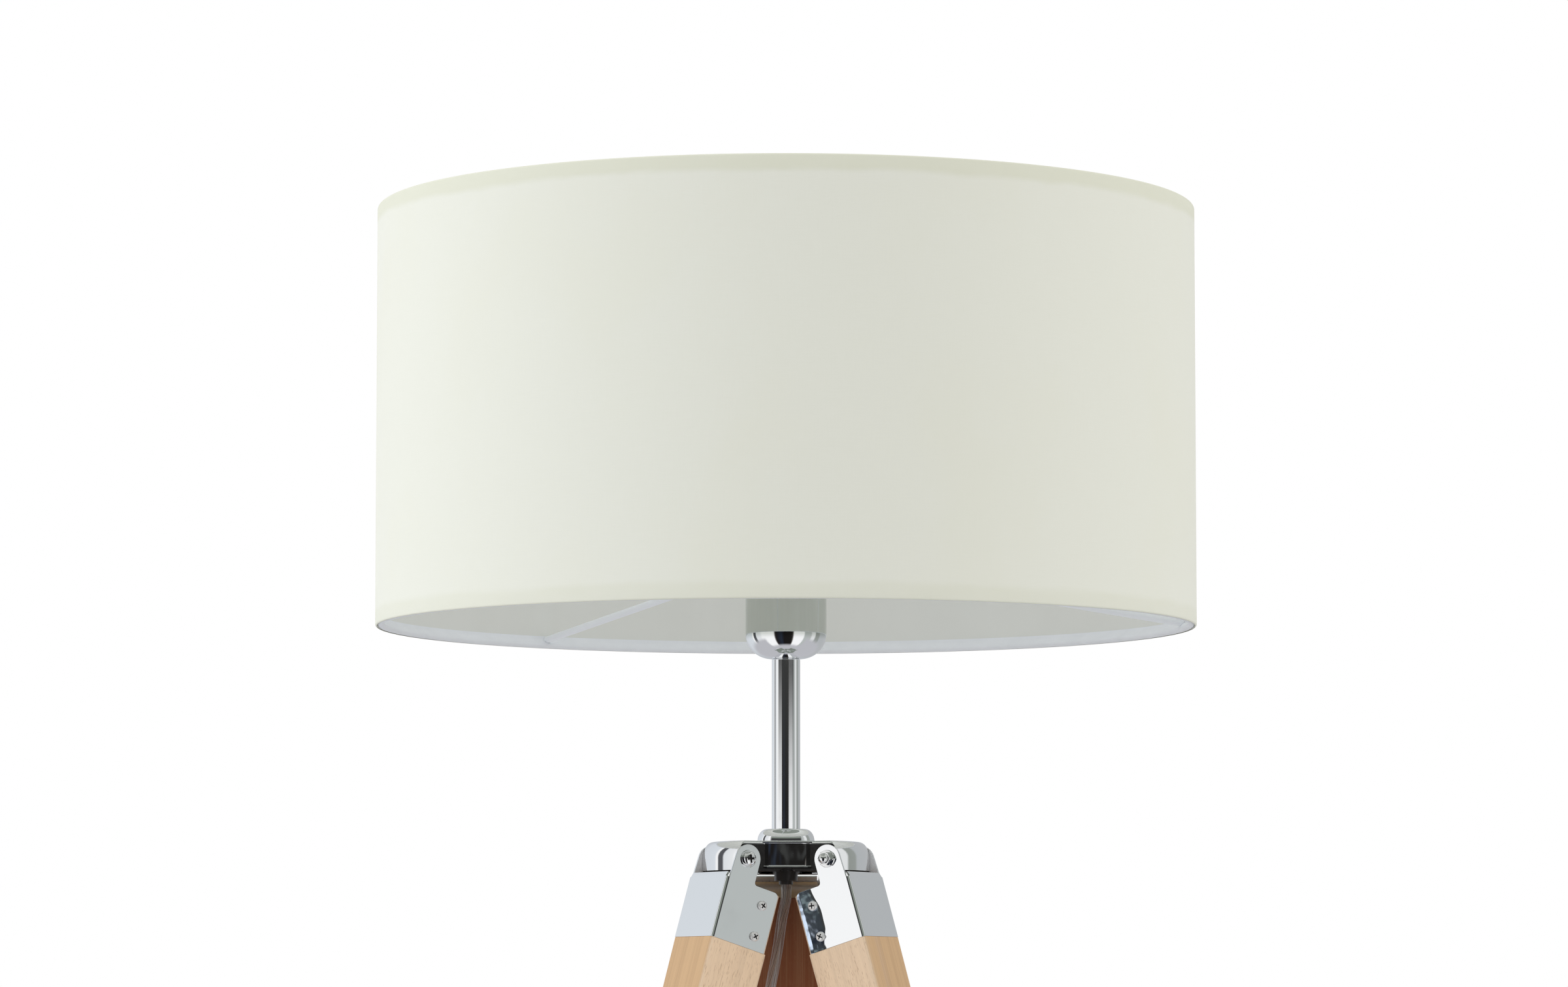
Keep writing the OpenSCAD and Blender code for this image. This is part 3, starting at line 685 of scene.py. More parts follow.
@dataclass(frozen=True)
class Felt(Finish):
    """Pressed felt."""

    colour: RGB = (0.10, 0.09, 0.08)
    roughness: float = 1.0
    sheen: float = 0.4
    dark: RGB = (0.06, 0.055, 0.05)
    light: RGB = (0.16, 0.15, 0.13)
    relief: float = 0.0002

    def vary(self, graph: Graph) -> Sockets:
        """Tangled fibres.

        Args:
            graph: the material's graph.

        Returns:
            A value for each socket that varies.
        """
        hair = graph.noise(graph.place(), 2200.0, 4.0, 0.7)
        return {
            "Base Color": graph.mix(self.dark, self.light, hair),
            "Normal": graph.bump(hair, self.relief),
        }


class Stock(Enum):
    """The finishes of the lamp's pieces."""

    CAST_CHROME = Chrome("cast_chrome", wave=55.0, wave_depth=0.00001)
    TUBE_CHROME = Chrome("tube_chrome", wave=30.0, wave_depth=0.000001)
    WALL_CHROME = Chrome("cast_wall_chrome", wave=190.0, wave_depth=0.0005, drawn=0.3)
    CUP_CHROME = CupChrome("cup_chrome", wave=30.0, wave_depth=0.000001)
    # dull unpolished casting, painted near black as shade on the underside, in the hollow and in the
    # corners
    CAST_DULL_AND_SHADED = ZincSteel("cast_dull_and_painted_shade", (0.05, 0.048, 0.047), 0.5)
    SHEET_CHROME = Chrome("sheet_chrome", wave=70.0, wave_depth=0.000006)
    ROLLED_SHEET = RolledChrome("rolled_sheet_chrome", wave=70.0, wave_depth=0.000006)
    SHEET_BACK = Satin("sheet_back", (0.88, 0.88, 0.90), 0.45, 0.25)
    ZINC = ZincSteel("zinc_steel")
    # painted shade in the screws' cross recesses
    RECESS = Satin("screw_recess_painted_shade", (0.045, 0.042, 0.04), 0.5, 0.3)
    SCREW = ZincSteel("zinc_screw", (0.88, 0.88, 0.875), 0.30, 0.45)
    FASTENER = Chrome("bright_fastener", (0.84, 0.845, 0.85), 0.07, wave=400.0, wave_depth=0.000002)
    BRASS = Finish("contact_brass", (0.78, 0.60, 0.28), 0.25, 1.0)
    BLACK = Moulded("black_plastic", (0.022, 0.021, 0.021), 0.38)
    RUBBER = Moulded("bush_plastic", (0.055, 0.052, 0.050), 0.30, grain=900.0)
    HOLDER = Moulded("holder_plastic", (0.84, 0.83, 0.79), 0.4)
    GLOSS_WHITE = Moulded("switch_plastic", (0.83, 0.83, 0.81), 0.28, relief=0.000006)
    BUTTON = Moulded("button_plastic", (0.55, 0.56, 0.56), 0.33)
    POWDER = Moulded("painted_wire", (0.92, 0.95, 0.99), 0.35, grain=2500.0, relief=0.00002)
    STYRENE = Styrene("shade_styrene")
    COTTON = Cotton("shade_cotton")
    TAPE = Tape("hem_tape")
    FELT = Felt("felt")
    JACKET = Finish("cord_jacket", (0.42, 0.39, 0.36), 0.06, 0.0, coat=1.0, alpha=0.30)
    CORE_LIVE = Finish("cord_core_tan", (0.72, 0.56, 0.44), 0.25, 0.6, coat=0.5)
    CORE_RETURN = Finish("cord_core_silver", (0.97, 0.96, 0.94), 0.22, 0.7, coat=0.5)
    BEECH_LEFT = Beech("beech_left", seed=1.37)
    BEECH_RIGHT = Beech("beech_right", seed=4.91)
    BEECH_BACK = Beech("beech_back", seed=8.26)


class Palette:
    """Makes each finish's material once and puts it on pieces."""

    def __init__(self) -> None:
        """Starts with nothing made."""
        self._made: dict[Stock, bpy.types.Material] = {}

    def material(self, stock: Stock) -> bpy.types.Material:
        """The material of a finish.

        Args:
            stock: the finish.

        Returns:
            Its material, the same one each time.
        """
        if stock not in self._made:
            self._made[stock] = stock.value.make()
        return self._made[stock]

    def dress(self, piece: bpy.types.Object, *stocks: Stock) -> None:
        """Gives a piece its finish, and any further ones to its further slots.

        Args:
            piece: the piece.
            stocks: its finishes; the last one fills the slots that are left.
        """
        while len(piece.material_slots) < len(stocks):
            piece.data.materials.append(None)
        for i, place in enumerate(piece.material_slots):
            place.link = "OBJECT"
            place.material = self.material(stocks[min(i, len(stocks) - 1)])

    def dress_nodes(self, stock: Stock, names: Iterable[str]) -> None:
        """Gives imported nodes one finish."""
        for name in names:
            self.dress(frame["nodes"][name], stock)


# ----------------------------------------------------------------------- forms


class Skin:
    """Gathers the points and faces of one piece."""

    def __init__(self) -> None:
        """Starts empty."""
        self.points: list[Triple] = []
        self.faces: list[tuple[int, ...]] = []
        self.painted_shade_faces: set[int] = set()

    def loft(
        self,
        rings: Sequence[Sequence[Vector]],
        place: Matrix | None = None,
        capped: bool = True,
        looped: bool = False,
        painted_shade_bands: int = 0,
    ) -> None:
        """Joins closed rings into a skin.

        Args:
            rings: rings with the same number of points each.
            place: where the rings' own frame stands.
            capped: whether the first and last rings are closed with a face.
            looped: whether the last ring joins the first.
            painted_shade_bands: how many of the last bands take the piece's second finish, a painted shade,
                the cap with them.
        """
        start, count = len(self.points), len(rings[0])
        move = place or Matrix()
        self.points += [tuple(move @ p) for ring in rings for p in ring]
        for i in range(len(rings) if looped else len(rings) - 1):
            a, b = start + i * count, start + (i + 1) % len(rings) * count
            for k in range(count):
                n = (k + 1) % count
                self.faces.append((a + k, a + n, b + n, b + k))
        if capped and not looped:
            self.faces.append(tuple(reversed(range(start, start + count))))
            self.faces.append(tuple(range(start + (len(rings) - 1) * count, len(self.points))))
        if painted_shade_bands:
            last = len(self.faces) - 1
            self.painted_shade_faces.update(range(last - 1 - painted_shade_bands * count, last - 1), [last])

    def turn(
        self,
        profile: Profile,
        segments: int = 64,
        place: Matrix | None = None,
        looped: bool = True,
    ) -> None:
        """Turns a profile of (radius, height) points round Z.

        Args:
            profile: its points, in order.
            segments: steps round the axis.
            place: where the profile's own frame stands.
            looped: whether the profile's last point joins its first.
        """
        rings = [circle(r, z, segments) for r, z in profile]
        self.loft(rings, place, capped=False, looped=looped)

    def piece(self, name: str, merge: float = 0.0, closed: bool = True) -> bpy.types.Object:
        """Makes the piece, with smooth shading.

        Args:
            name: its name.
            merge: points closer than this become one, in metres; 0 leaves all.
            closed: whether its faces bound a solid, so that they can be turned outwards.

        Returns:
            The new piece, linked to the scene.
        """
        mesh = bpy.data.meshes.new(name)
        mesh.from_pydata(self.points, [], self.faces)
        mesh.polygons.foreach_set("material_index", [int(k in self.painted_shade_faces) for k in range(len(self.faces))])
        if merge or closed:
            shape = bmesh.new()
            shape.from_mesh(mesh)
            if merge:
                bmesh.ops.remove_doubles(shape, verts=shape.verts, dist=merge)
            if closed:
                bmesh.ops.recalc_face_normals(shape, faces=shape.faces)
            shape.to_mesh(mesh)
            shape.free()
        mesh.polygons.foreach_set("use_smooth", [True] * len(mesh.polygons))
        mesh.update()
        piece = bpy.data.objects.new(name, mesh)
        bpy.context.scene.collection.objects.link(piece)
        return piece


class Form:
    """Shapes that several pieces share."""

    @staticmethod
    def turned(
        name: str, profile: Profile, segments: int, closed: bool
    ) -> bpy.types.Object:
        """Turns a profile round Z into a piece.

        Args:
            name: the piece's name.
            profile: its (radius, height) points, in order.
            segments: steps round the axis.
            closed: whether the profile's last point joins its first.

        Returns:
            The new piece.
        """
        skin = Skin()
        skin.turn(profile, segments, looped=closed)
        return skin.piece(name, closed=closed)

    @staticmethod
    def crisp(piece: bpy.types.Object, degrees: float) -> None:
        """Keeps edges sharper than an angle crisp."""
        piece.data.set_sharp_from_angle(angle=math.radians(degrees))

    @staticmethod
    def polish(piece: bpy.types.Object, degrees: float = 36.0) -> None:
        """Keeps sharp edges crisp, and flat faces flat beside their rounded edges.

        Args:
            piece: the piece.
            degrees: the angle from which an edge is sharp.
        """
        Form.crisp(piece, degrees)
        flat = piece.modifiers.new("flat_faces", "WEIGHTED_NORMAL")
        flat.keep_sharp = True

    @staticmethod
    def sweep(
        skin: Skin,
        path: Sequence[Vector],
        radius: float,
        sides: int,
        lays: Sequence[Triple] = (),
    ) -> None:
        """Sweeps a circle along a path.

        Args:
            skin: what the tube is added to.
            path: the centreline's points.
            radius: the circle's radius.
            sides: its steps.
            lays: helices that carry the circle off the path, each as its radius, the angle
                that it starts at and the length of one turn.
        """
        rings: list[list[Vector]] = []
        across = Vector((1.0, 0.0, 0.0))
        run = 0.0
        for i, point in enumerate(path):
            run += (point - path[i - 1]).length if i else 0.0
            ahead = (path[min(i + 1, len(path) - 1)] - path[max(i - 1, 0)]).normalized()
            across = (across - ahead * across.dot(ahead)).normalized()
            up = ahead.cross(across)
            middle = point.copy()
            for offset, start, pitch in lays:
                here = start + 2 * math.pi * run / pitch
                middle += offset * (math.cos(here) * across + math.sin(here) * up)
            rings.append(
                [
                    middle + radius * (math.cos(a) * across + math.sin(a) * up)
                    for a in (2 * math.pi * k / sides for k in range(sides))
                ]
            )
        skin.loft(rings)

    @staticmethod
    def arc(
        centre: tuple[float, float], radius: float, start: float, end: float, steps: int
    ) -> list[tuple[float, float]]:
        """Points on an arc of a profile.

        Args:
            centre: its middle.
            radius: its radius.
            start: its first angle, in degrees.
            end: its last angle, in degrees.
            steps: steps between them.

        Returns:
            The points, both ends among them.
        """
        angles = [math.radians(start + (end - start) * k / steps) for k in range(steps + 1)]
        return [(centre[0] + radius * math.cos(a), centre[1] + radius * math.sin(a)) for a in angles]


class Fastener:
    """Screw heads, washers and cap nuts, each standing on z = 0 of its own frame.

    DOME holds a head's outline, as shares of its radius and height. RECESS holds a cross recess
    level by level: its reach and half an arm's width as shares of the radius, and the level.
    """

    STEPS = 48
    DOME = ((0.92, 0.0), (1.0, 0.10), (1.0, 0.36), (0.985, 0.50), (0.94, 0.64), (0.86, 0.77),
            (0.75, 0.87), (0.64, 0.94), (0.60, 0.955))
    RECESS = ((0.60, 0.15, 0.975), (0.58, 0.13, 0.93), (0.40, 0.09, 0.42))

    @staticmethod
    def _round(radius: float, height: float) -> list[Vector]:
        """Circle whose points face those of the recess."""
        return circle(radius, height, Fastener.STEPS)

    @staticmethod
    def _cross(reach: float, half: float, height: float) -> list[Vector]:
        """Outline of a cross recess.

        Args:
            reach: how far its arms run out.
            half: half an arm's width.
            height: its level.

        Returns:
            As many points as a circle has.
        """
        per = Fastener.STEPS // 4
        corners = [(reach, 0.0), (reach, half), (half, half), (half, reach), (0.0, reach)]
        out: list[Vector] = []
        for side in range(4):
            for k in range(per):
                at = 4 * k / per
                i = int(at)
                u = at - i
                x = corners[i][0] + (corners[i + 1][0] - corners[i][0]) * u
                y = corners[i][1] + (corners[i + 1][1] - corners[i][1]) * u
                out.append(swung(x, y, side * math.pi / 2, height))
        return out

    @staticmethod
    def pan_head(
        skin: Skin, place: Matrix, radius: float, height: float, shank_r: float, shank: float
    ) -> None:
        """Adds a domed head with a cross recess, on its shank.

        Args:
            skin: what it is added to.
            place: where its frame stands.
            radius: the head's radius.
            height: the head's height.
            shank_r: the shank's radius.
            shank: the shank's length.
        """
        rings = [Fastener._round(shank_r, -shank), Fastener._round(shank_r, 0.0)]
        rings += [Fastener._round(radius * r, height * z) for r, z in Fastener.DOME]
        rings += [Fastener._cross(radius * r, radius * w, height * z) for r, w, z in Fastener.RECESS]
        # the recess and its floor take the second finish, a painted shade
        skin.loft(rings, place, painted_shade_bands=1)

    @staticmethod
    def washer(skin: Skin, place: Matrix, radius: float, bore: float, thick: float) -> None:
        """Adds a flat washer with softened rims.

        Args:
            skin: what it is added to.
            place: where its frame stands.
            radius: the washer's radius.
            bore: its bore's radius.
            thick: its thickness.
        """
        soft = thick * 0.25
        skin.turn(
            [(bore, 0.0), (radius - soft, 0.0), (radius, soft), (radius, thick - soft),
             (radius - soft, thick), (bore, thick)],
            Fastener.STEPS,
            place,
        )

    @staticmethod
    def _hexagon(flats: float, limit: float, height: float) -> list[Vector]:
        """Six-sided outline that is turned down to a radius.

        Args:
            flats: width across its flats.
            limit: the radius.
            height: its level.

        Returns:
            As many points as a circle has.
        """
        ring: list[Vector] = []
        for k in range(Fastener.STEPS):
            a = 2 * math.pi * k / Fastener.STEPS
            flat = flats / 2 / math.cos((a + math.pi / 6) % (math.pi / 3) - math.pi / 6)
            ring.append(polar(min(flat, limit), a, height))
        return ring

    @staticmethod
    def cap_nut(skin: Skin, place: Matrix, flats: float, height: float, dome_r: float) -> None:
        """Adds a hexagon nut with a dome.

        Args:
            skin: what it is added to.
            place: where its frame stands.
            flats: width across its flats.
            height: height of the hexagon.
            dome_r: the dome's radius.
        """
        near, far = flats / 2, flats / 2 / math.cos(math.pi / 6)
        outline = ((near, 0.0), (far, height * 0.13), (far, height * 0.86), (near * 1.02, height))
        rings = [Fastener._hexagon(flats, limit, level) for limit, level in outline]
        rings.append(Fastener._round(dome_r + 0.00015, height))
        rings += [
            Fastener._round(dome_r * math.cos(a), height + 0.0001 + dome_r * math.sin(a))
            for a in (math.radians(10 * k) for k in range(9))
        ]
        skin.loft(rings, place)


# ---------------------------------------------------------------------- pieces


@dataclass
class Lamp:
    """What every sub-assembly needs to know of the whole lamp."""

    palette: Palette
    root: str = "lamp_head"
    axis: Vector = field(default_factory=Vector)

    def __post_init__(self) -> None:
        """Finds the lamp's own axis from its stem."""
        low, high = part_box("stem_tube")
        self.axis = Vector(((low.x + high.x) / 2, (low.y + high.y) / 2, 0.0))


@dataclass
class Cord:
    """Clear two-core cord: its free stretches and its coil, along the route's own points.

    The stretches, the coil's sizes and the sag are in millimetres from the lamp's axis; the rest
    is in metres.
    """

    lamp: Lamp
    diameter: float = 0.006
    step: float = 0.005
    drop: tuple[Triple, ...] = (
        (0, 0, 1129.5), (0, 0, 1122), (-2, 0, 1112), (-4, 1, 1098), (-6, 1, 1086),
        (-9, 2, 1070), (-12, 4, 1048), (-15, 6, 1020), (-18, 8, 980),
        (-21, 10, 920), (-23, 12, 820), (-24, 13, 700), (-25, 14, 560),
        (-26, 14, 400), (-27, 15, 250), (-29, 16, 150), (-33, 18, 85),
        (-41, 21, 40), (-54, 25, 14), (-70, 28, 5), (-84, 30, 5), (-99, 30, 7),
    )
    lead: tuple[Triple, ...] = (
        (-171, 30, 7), (-182, 30, 6), (-194, 31, 5), (-208, 37, 4),
        (-219, 49, 4), (-223, 64, 4), (-223, 86, 4), (-223, 110, 4),
    )
    tail: tuple[Triple, ...] = ((-183, 150, 10), (-172, 150, 10), (-156, 150, 7), (-146.2, 150, 7))
    coil_at: tuple[float, float] = (-183.0, 110.0)
    coil_radii: tuple[float, ...] = (40.0, 33.3, 26.6)
    coil_levels: tuple[float, float] = (4.0, 10.0)
    coil_sweep: float = 1890.0
    lay_pitch: float = 0.16
    core_off: float = 0.0014
    strands: int = 6
    strand_r: float = 0.00042
    strand_off: float = 0.00084
    strand_pitch: float = 0.11
    sag: float = 2.8
    switch_steps: int = 14
    coil_step: float = 7.5
    coil_start: float = 180.0
    cross_from: float = 290.0
    core_start: float = 0.4

    def _smooth(self, route: Sequence[Triple]) -> list[Vector]:
        """Lays a Catmull-Rom curve through a route's points.

        Args:
            route: the points, in millimetres from the lamp's axis.

        Returns:
            Points on the curve, in the same frame.
        """
        p = [Vector(q) for q in route]
        out: list[Vector] = []
        for i in range(len(p) - 1):
            a, b, c, d = p[max(i - 1, 0)], p[i], p[i + 1], p[min(i + 2, len(p) - 1)]
            steps = max(2, round((c - b).length / (self.step / MM)))
            for k in range(steps):
                u = k / steps
                out.append(
                    0.5
                    * (
                        2 * b
                        + (c - a) * u
                        + (2 * a - 5 * b + 4 * c - d) * u * u
                        + (3 * b - a - 3 * c + d) * u * u * u
                    )
                )
        out.append(p[-1])
        return out

    def _coil(self) -> list[Vector]:
        """Winds turns that lie side by side in two layers, inwards and out again.

        Returns:
            Points along the turns, in millimetres from the lamp's axis.
        """
        tracks = [(r, self.coil_levels[0]) for r in self.coil_radii]
        tracks += [(r, self.coil_levels[1]) for r in reversed(self.coil_radii)]
        out: list[Vector] = []
        steps = int(self.coil_sweep / self.coil_step)
        for k in range(1, steps):
            swept = self.coil_sweep * k / steps
            turn, rest = divmod(swept, 360.0)
            here = tracks[int(turn)]
            then = tracks[min(int(turn) + 1, len(tracks) - 1)]
            share = min(max((rest - self.cross_from) / (360.0 - self.cross_from), 0.0), 1.0)
            share = share * share * (3 - 2 * share)
            r = here[0] + (then[0] - here[0]) * share
            z = here[1] + (then[1] - here[1]) * share
            a = math.radians(self.coil_start - swept)
            x, y = self.coil_at
            out.append(Vector((x + r * math.cos(a), y + r * math.sin(a), z)))
        return out

    def path(self) -> list[Vector]:
        """Joins the stretches through the foot switch, under its button.

        Returns:
            The whole centreline, in metres.
        """
        shares = [k / self.switch_steps for k in range(1, self.switch_steps)]
        through = [
            Vector(self.drop[-1]).lerp(Vector(self.lead[0]), share)
            - Vector((0, 0, self.sag * math.sin(math.pi * share) ** 2))
            for share in shares
        ]
        points = self._smooth(self.drop) + through + self._smooth(self.lead)
        points += self._coil() + self._smooth(self.tail)
        return [p * MM + self.lamp.axis for p in points]

    def _core(self, name: str, path: Sequence[Vector], start: float) -> bpy.types.Object:
        """One core of bare strands, laid round the other core.

        Args:
            name: the piece's name.
            path: the cord's centreline.
            start: the angle round the centreline at which the core starts.

        Returns:
            The new piece.
        """
        skin = Skin()
        for k in range(self.strands):
            lays = (
                (self.core_off, start, self.lay_pitch),
                (self.strand_off, 2 * math.pi * k / self.strands, self.strand_pitch),
            )
            Form.sweep(skin, path, self.strand_r, 6, lays)
        return skin.piece(name)

    def build(self) -> None:
        path = self.path()
        length = sum((b - a).length for a, b in zip(path, path[1:]))
        skin = Skin()
        Form.sweep(skin, path, self.diameter / 2, 16)
        jacket = skin.piece("cord_jacket")
        cores = [
            self._core("cord_core_live", path, self.core_start),
            self._core("cord_core_return", path, self.core_start + math.pi),
        ]
        stocks = (Stock.JACKET, Stock.CORE_LIVE, Stock.CORE_RETURN)
        for piece, stock in zip((jacket, *cores), stocks):
            self.lamp.palette.dress(piece, stock)
            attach(piece, self.lamp.root)
        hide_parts("cord_drop", "cord_lead", "cord_coil", "cord_tail")
        log.info("cord: %.3f m, %d points", length, len(path))


@dataclass
class Shade:
    """Drum shade: cloth over styrene, hemmed round two wire rings."""

    lamp: Lamp
    segments: int = 288
    tape_h: float = 0.007
    tape_t: float = 0.0004
    wire_r: float = 0.0015
    turn_r: float = 0.0010
    tuck: float = 0.0002
    ripple: float = 0.00007
    liner_face: float = 0.0001
    liner_back: float = 0.0008
    liner_inset: float = 0.0004

    def build(self) -> None:
        """Makes the cloth, its liner and both hems, and dresses the carrier."""
        low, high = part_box("shade_cloth")
        r = max(high.x - low.x, high.y - low.y) / 2
        inner_low, inner_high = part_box("shade_liner")
        liner_r = max(inner_high.x - inner_low.x, inner_high.y - inner_low.y) / 2
        z0, z1 = low.z, high.z
        cloth = self._cloth(r, liner_r, z0, z1)
        face, back = liner_r - self.liner_face, liner_r - self.liner_back
        foot, top = z0 + self.liner_inset, z1 - self.liner_inset
        profile = [(face, foot), (face, top), (back, top), (back, foot)]
        liner = Form.turned("shade_liner_sheet", profile, self.segments, True)
        Form.crisp(liner, 40)
        hems = [self._hem("shade_hem_band_bottom", back, z0, 1.0),
                self._hem("shade_hem_band_top", back, z1, -1.0)]
        palette = self.lamp.palette
        palette.dress(cloth, Stock.COTTON)
        palette.dress(liner, Stock.STYRENE)
        for hem, node in zip(hems, ("shade_hem_bottom", "shade_hem_top")):
            palette.dress(hem, Stock.TAPE)
            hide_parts(node)
        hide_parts("shade_cloth")
        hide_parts("shade_liner")
        for piece in (cloth, liner, *hems):
            piece.location = self.lamp.axis
            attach(piece, self.lamp.root)
        palette.dress_nodes(Stock.POWDER, ("shade_carrier", "shade_top_ring"))
        log.info("shade: %.0f mm across, %.0f mm high", 2000 * r, 1000 * (z1 - z0))

    def _cloth(self, r: float, liner_r: float, z0: float, z1: float) -> bpy.types.Object:
        """Cloth with both edges turned in over the rings, and the ripple of its thread.

        Args:
            r: the drum's radius.
            liner_r: the liner's radius.
            z0: height of the lower edge.
            z1: height of the upper edge.

        Returns:
            The new piece.
        """
        lift, tuck, rows = self.turn_r, self.tuck, 24
        profile = [(liner_r - tuck, z0 + tuck)]
        profile += Form.arc((r - lift, z0 + lift), lift, -90, 0, 4)
        profile += [(r, z0 + lift + (z1 - z0 - 2 * lift) * k / rows) for k in range(1, rows)]
        profile += Form.arc((r - lift, z1 - lift), lift, 0, 90, 4)
        profile.append((liner_r - tuck, z1 - tuck))
        cloth = Form.turned("shade_cotton_skin", profile, self.segments, False)
        for point in cloth.data.vertices:
            x, y, z = point.co
            a = math.atan2(y, x)
            wave = math.sin(3 * a + 0.4) + 0.6 * math.sin(5 * a + 2.1 + 4 * z)
            wave += 0.4 * math.sin(11 * a - 9 * z)
            scale = 1 - self.ripple * (1 + wave / 2) / r
            point.co.x, point.co.y = x * scale, y * scale
        return cloth

    def _hem(self, name: str, inside_r: float, edge: float, up: float) -> bpy.types.Object:
        """Tape that goes round a ring's wire and along the liner.

        Args:
            name: the piece's name.
            inside_r: radius of the liner's inside.
            edge: height of the shade's edge.
            up: 1 at the lower edge, -1 at the upper.

        Returns:
            The new piece.
        """
        rise = self.wire_r + self.tape_t
        ring_r, face = inside_r - rise, inside_r - self.tape_t
        profile: list[tuple[float, float]] = [(inside_r - 0.00002, edge + up * rise)]
        for k in range(1, 9):
            a = math.radians(-180 * k / 8)
            profile.append((ring_r + rise * math.cos(a), edge + up * (rise + rise * math.sin(a))))
        profile += [
            (ring_r - rise + 0.0003, edge + up * (rise + 0.0009)),
            (inside_r - 2 * rise + 0.0016, edge + up * (rise + 0.0022)),
            (face - 0.0004, edge + up * (rise + 0.0034)),
            (face, edge + up * (self.tape_h - 0.0003)),
            (face + 0.0001, edge + up * self.tape_h),
            (inside_r - 0.00002, edge + up * self.tape_h),
        ]
        hem = Form.turned(name, profile, self.segments, True)
        Form.crisp(hem, 60)
        return hem


@dataclass
class Leg:
    """A beech leg in its shoe. Its own frame has X outwards, Y across and Z up along the leg."""

    lamp: Lamp
    side: str
    stock: Stock
    lean: float = math.radians(16.5)
    width: float = 0.0406
    outer: float = 0.010
    inner: float = 0.026
    foot_w: float = 0.027
    foot_depth: float = 0.023
    pad_t: float = 0.003
    arris: float = 0.0021
    sheet_t: float = 0.0012
    fit: float = 0.0001
    shoe_top: float = 0.0125
    shoe_bottom: float = 0.0465
    end_drop: float = 0.0006
    flange_inner: float = 0.024
    bend_r: float = 0.0016
    ear_r: float = 0.0078
    shoulder_n: float = 0.0096
    corner_r: float = 0.003
    lip_h: float = 0.0027
    lip_inset: float = 0.0018
    lip_lean: float = math.radians(17.5)
    edge_r: float = 0.00028
    screw_n: float = -0.0154
    screw_s: tuple[float, float] = (0.0219, 0.0392)
    screw_head: tuple[float, float] = (0.0027, 0.0019)
    screw_shank: tuple[float, float] = (0.0013, 0.012)
    washer: tuple[float, float] = (0.0047, 0.0008)
    bolt_r: float = 0.002
    bolt_head: tuple[float, float] = (0.0038, 0.0024)
    nut_flats: float = 0.007
    nut_h: float = 0.0032
    dome_r: float = 0.0029
    bolt_gap: float = 0.00005
    bolt_turn: float = 0.35
    nut_turn: float = 0.2
    top_share: float = 0.978
    foot_share: float = 0.975
    rows: int = 24

    def __post_init__(self) -> None:
        """Finds where the leg hangs."""
        self.place = self._find_place()
        self.hinge_h = self.place.translation.z

    def _find_place(self) -> Matrix:
        """Places the leg's own frame at its hinge.

        Returns:
            The frame, leaning as the leg does at rest.
        """
        joint = next(j for j in frame["joints"] if j["name"] == f"{self.side}_leg_fold")
        axis = joint["axis"]
        azimuth = math.atan2(-axis[0], axis[1])
        return (
            Matrix.Translation(Vector(joint["pos_m"]))
            @ Matrix.Rotation(azimuth, 4, "Z")
            @ Matrix.Rotation(-self.lean, 4, "Y")
        )

    def _ring(self, s: float, cut: float | None) -> list[Vector]:
        """Section of the wood at a distance along the leg.

        Args:
            s: the distance from the hinge, downwards.
            cut: the hinge's height above a level cut, or None for a square section.

        Returns:
            Points round the section, with rounded corners.
        """
        length = self.hinge_h / math.cos(self.lean)
        share = max(s - self.shoe_bottom, 0.0) / (length - self.shoe_bottom)
        mid = (self.outer - self.inner) / 2
        out = self.outer + (mid + self.foot_depth / 2 - self.outer) * share
        inn = -self.inner + (mid - self.foot_depth / 2 + self.inner) * share
        half = self.width / 2 + (self.foot_w - self.width) / 2 * share
        if s < self.shoe_bottom:
            out -= self.sheet_t + self.fit
            half -= self.sheet_t + self.fit
        corners = [(out, half, 0), (inn, half, 90), (inn, -half, 180), (out, -half, 270)]
        ring: list[Vector] = []
        for n, t, start in corners:
            cn = n - math.copysign(self.arris, n - mid)
            ct = t - math.copysign(self.arris, t)
            for k in range(6):
                a = math.radians(start + 18 * k)
                x, y = cn + self.arris * math.cos(a), ct + self.arris * math.sin(a)
                level = s if cut is None else (cut + x * math.sin(self.lean)) / math.cos(self.lean)
                ring.append(Vector((x, y, -level)))
        return ring

    @staticmethod
    def _shrunk(ring: Sequence[Vector], share: float) -> list[Vector]:
        """A ring drawn in towards its middle."""
        centre = sum(ring, Vector()) / len(ring)
        return [centre + (p - centre) * share for p in ring]

    def _wood(self) -> bpy.types.Object:
        """Makes the tapered leg, thinner by the sheet inside its shoe and cut level at its foot.

        Returns:
            The new piece.
        """
        length = self.hinge_h / math.cos(self.lean)
        top, end = self.shoe_top + self.end_drop, self.shoe_bottom
        stations = [top + 0.0005, end - 0.0006, end - 0.0001, end + 0.0001, end + 0.0006]
        stations += [
            end + 0.0006 + (length - 0.02 - end) * k / self.rows for k in range(1, self.rows)
        ]
        rings = [self._shrunk(self._ring(top, None), self.top_share)]
        rings += [self._ring(s, None) for s in stations]
        rings.append(self._ring(length - 0.006, self.hinge_h - self.pad_t - 0.0008))
        foot = self._ring(length - 0.003, self.hinge_h - self.pad_t)
        rings.append(self._shrunk(foot, self.foot_share))
        skin = Skin()
        skin.loft(rings)
        wood = skin.piece(f"beech_leg_{self.side}")
        Form.polish(wood, 40)
        return wood

    def _flange(self, flat_n: float) -> list[tuple[float, float]]:
        """Outline of one side of the shoe, with its ear, from the bend's lower end and round.

        Args:
            flat_n: how far outwards the side is flat.

        Returns:
            Points (outwards, along the leg).
        """
        top, bottom = -self.shoe_top, -self.shoe_bottom
        fillet = self.shoulder_n - self.ear_r
        outline = [(flat_n, bottom), (flat_n, top)]
        outline += Form.arc((0.0, 0.0), self.ear_r, 0, 180, 24)
        outline += Form.arc((-self.shoulder_n, top + fillet), fillet, 0, -90, 5)
        outline += Form.arc(
            (self.corner_r - self.flange_inner, top - self.corner_r), self.corner_r, 90, 180, 7
        )
        outline.append((-self.flange_inner, bottom))
        return outline

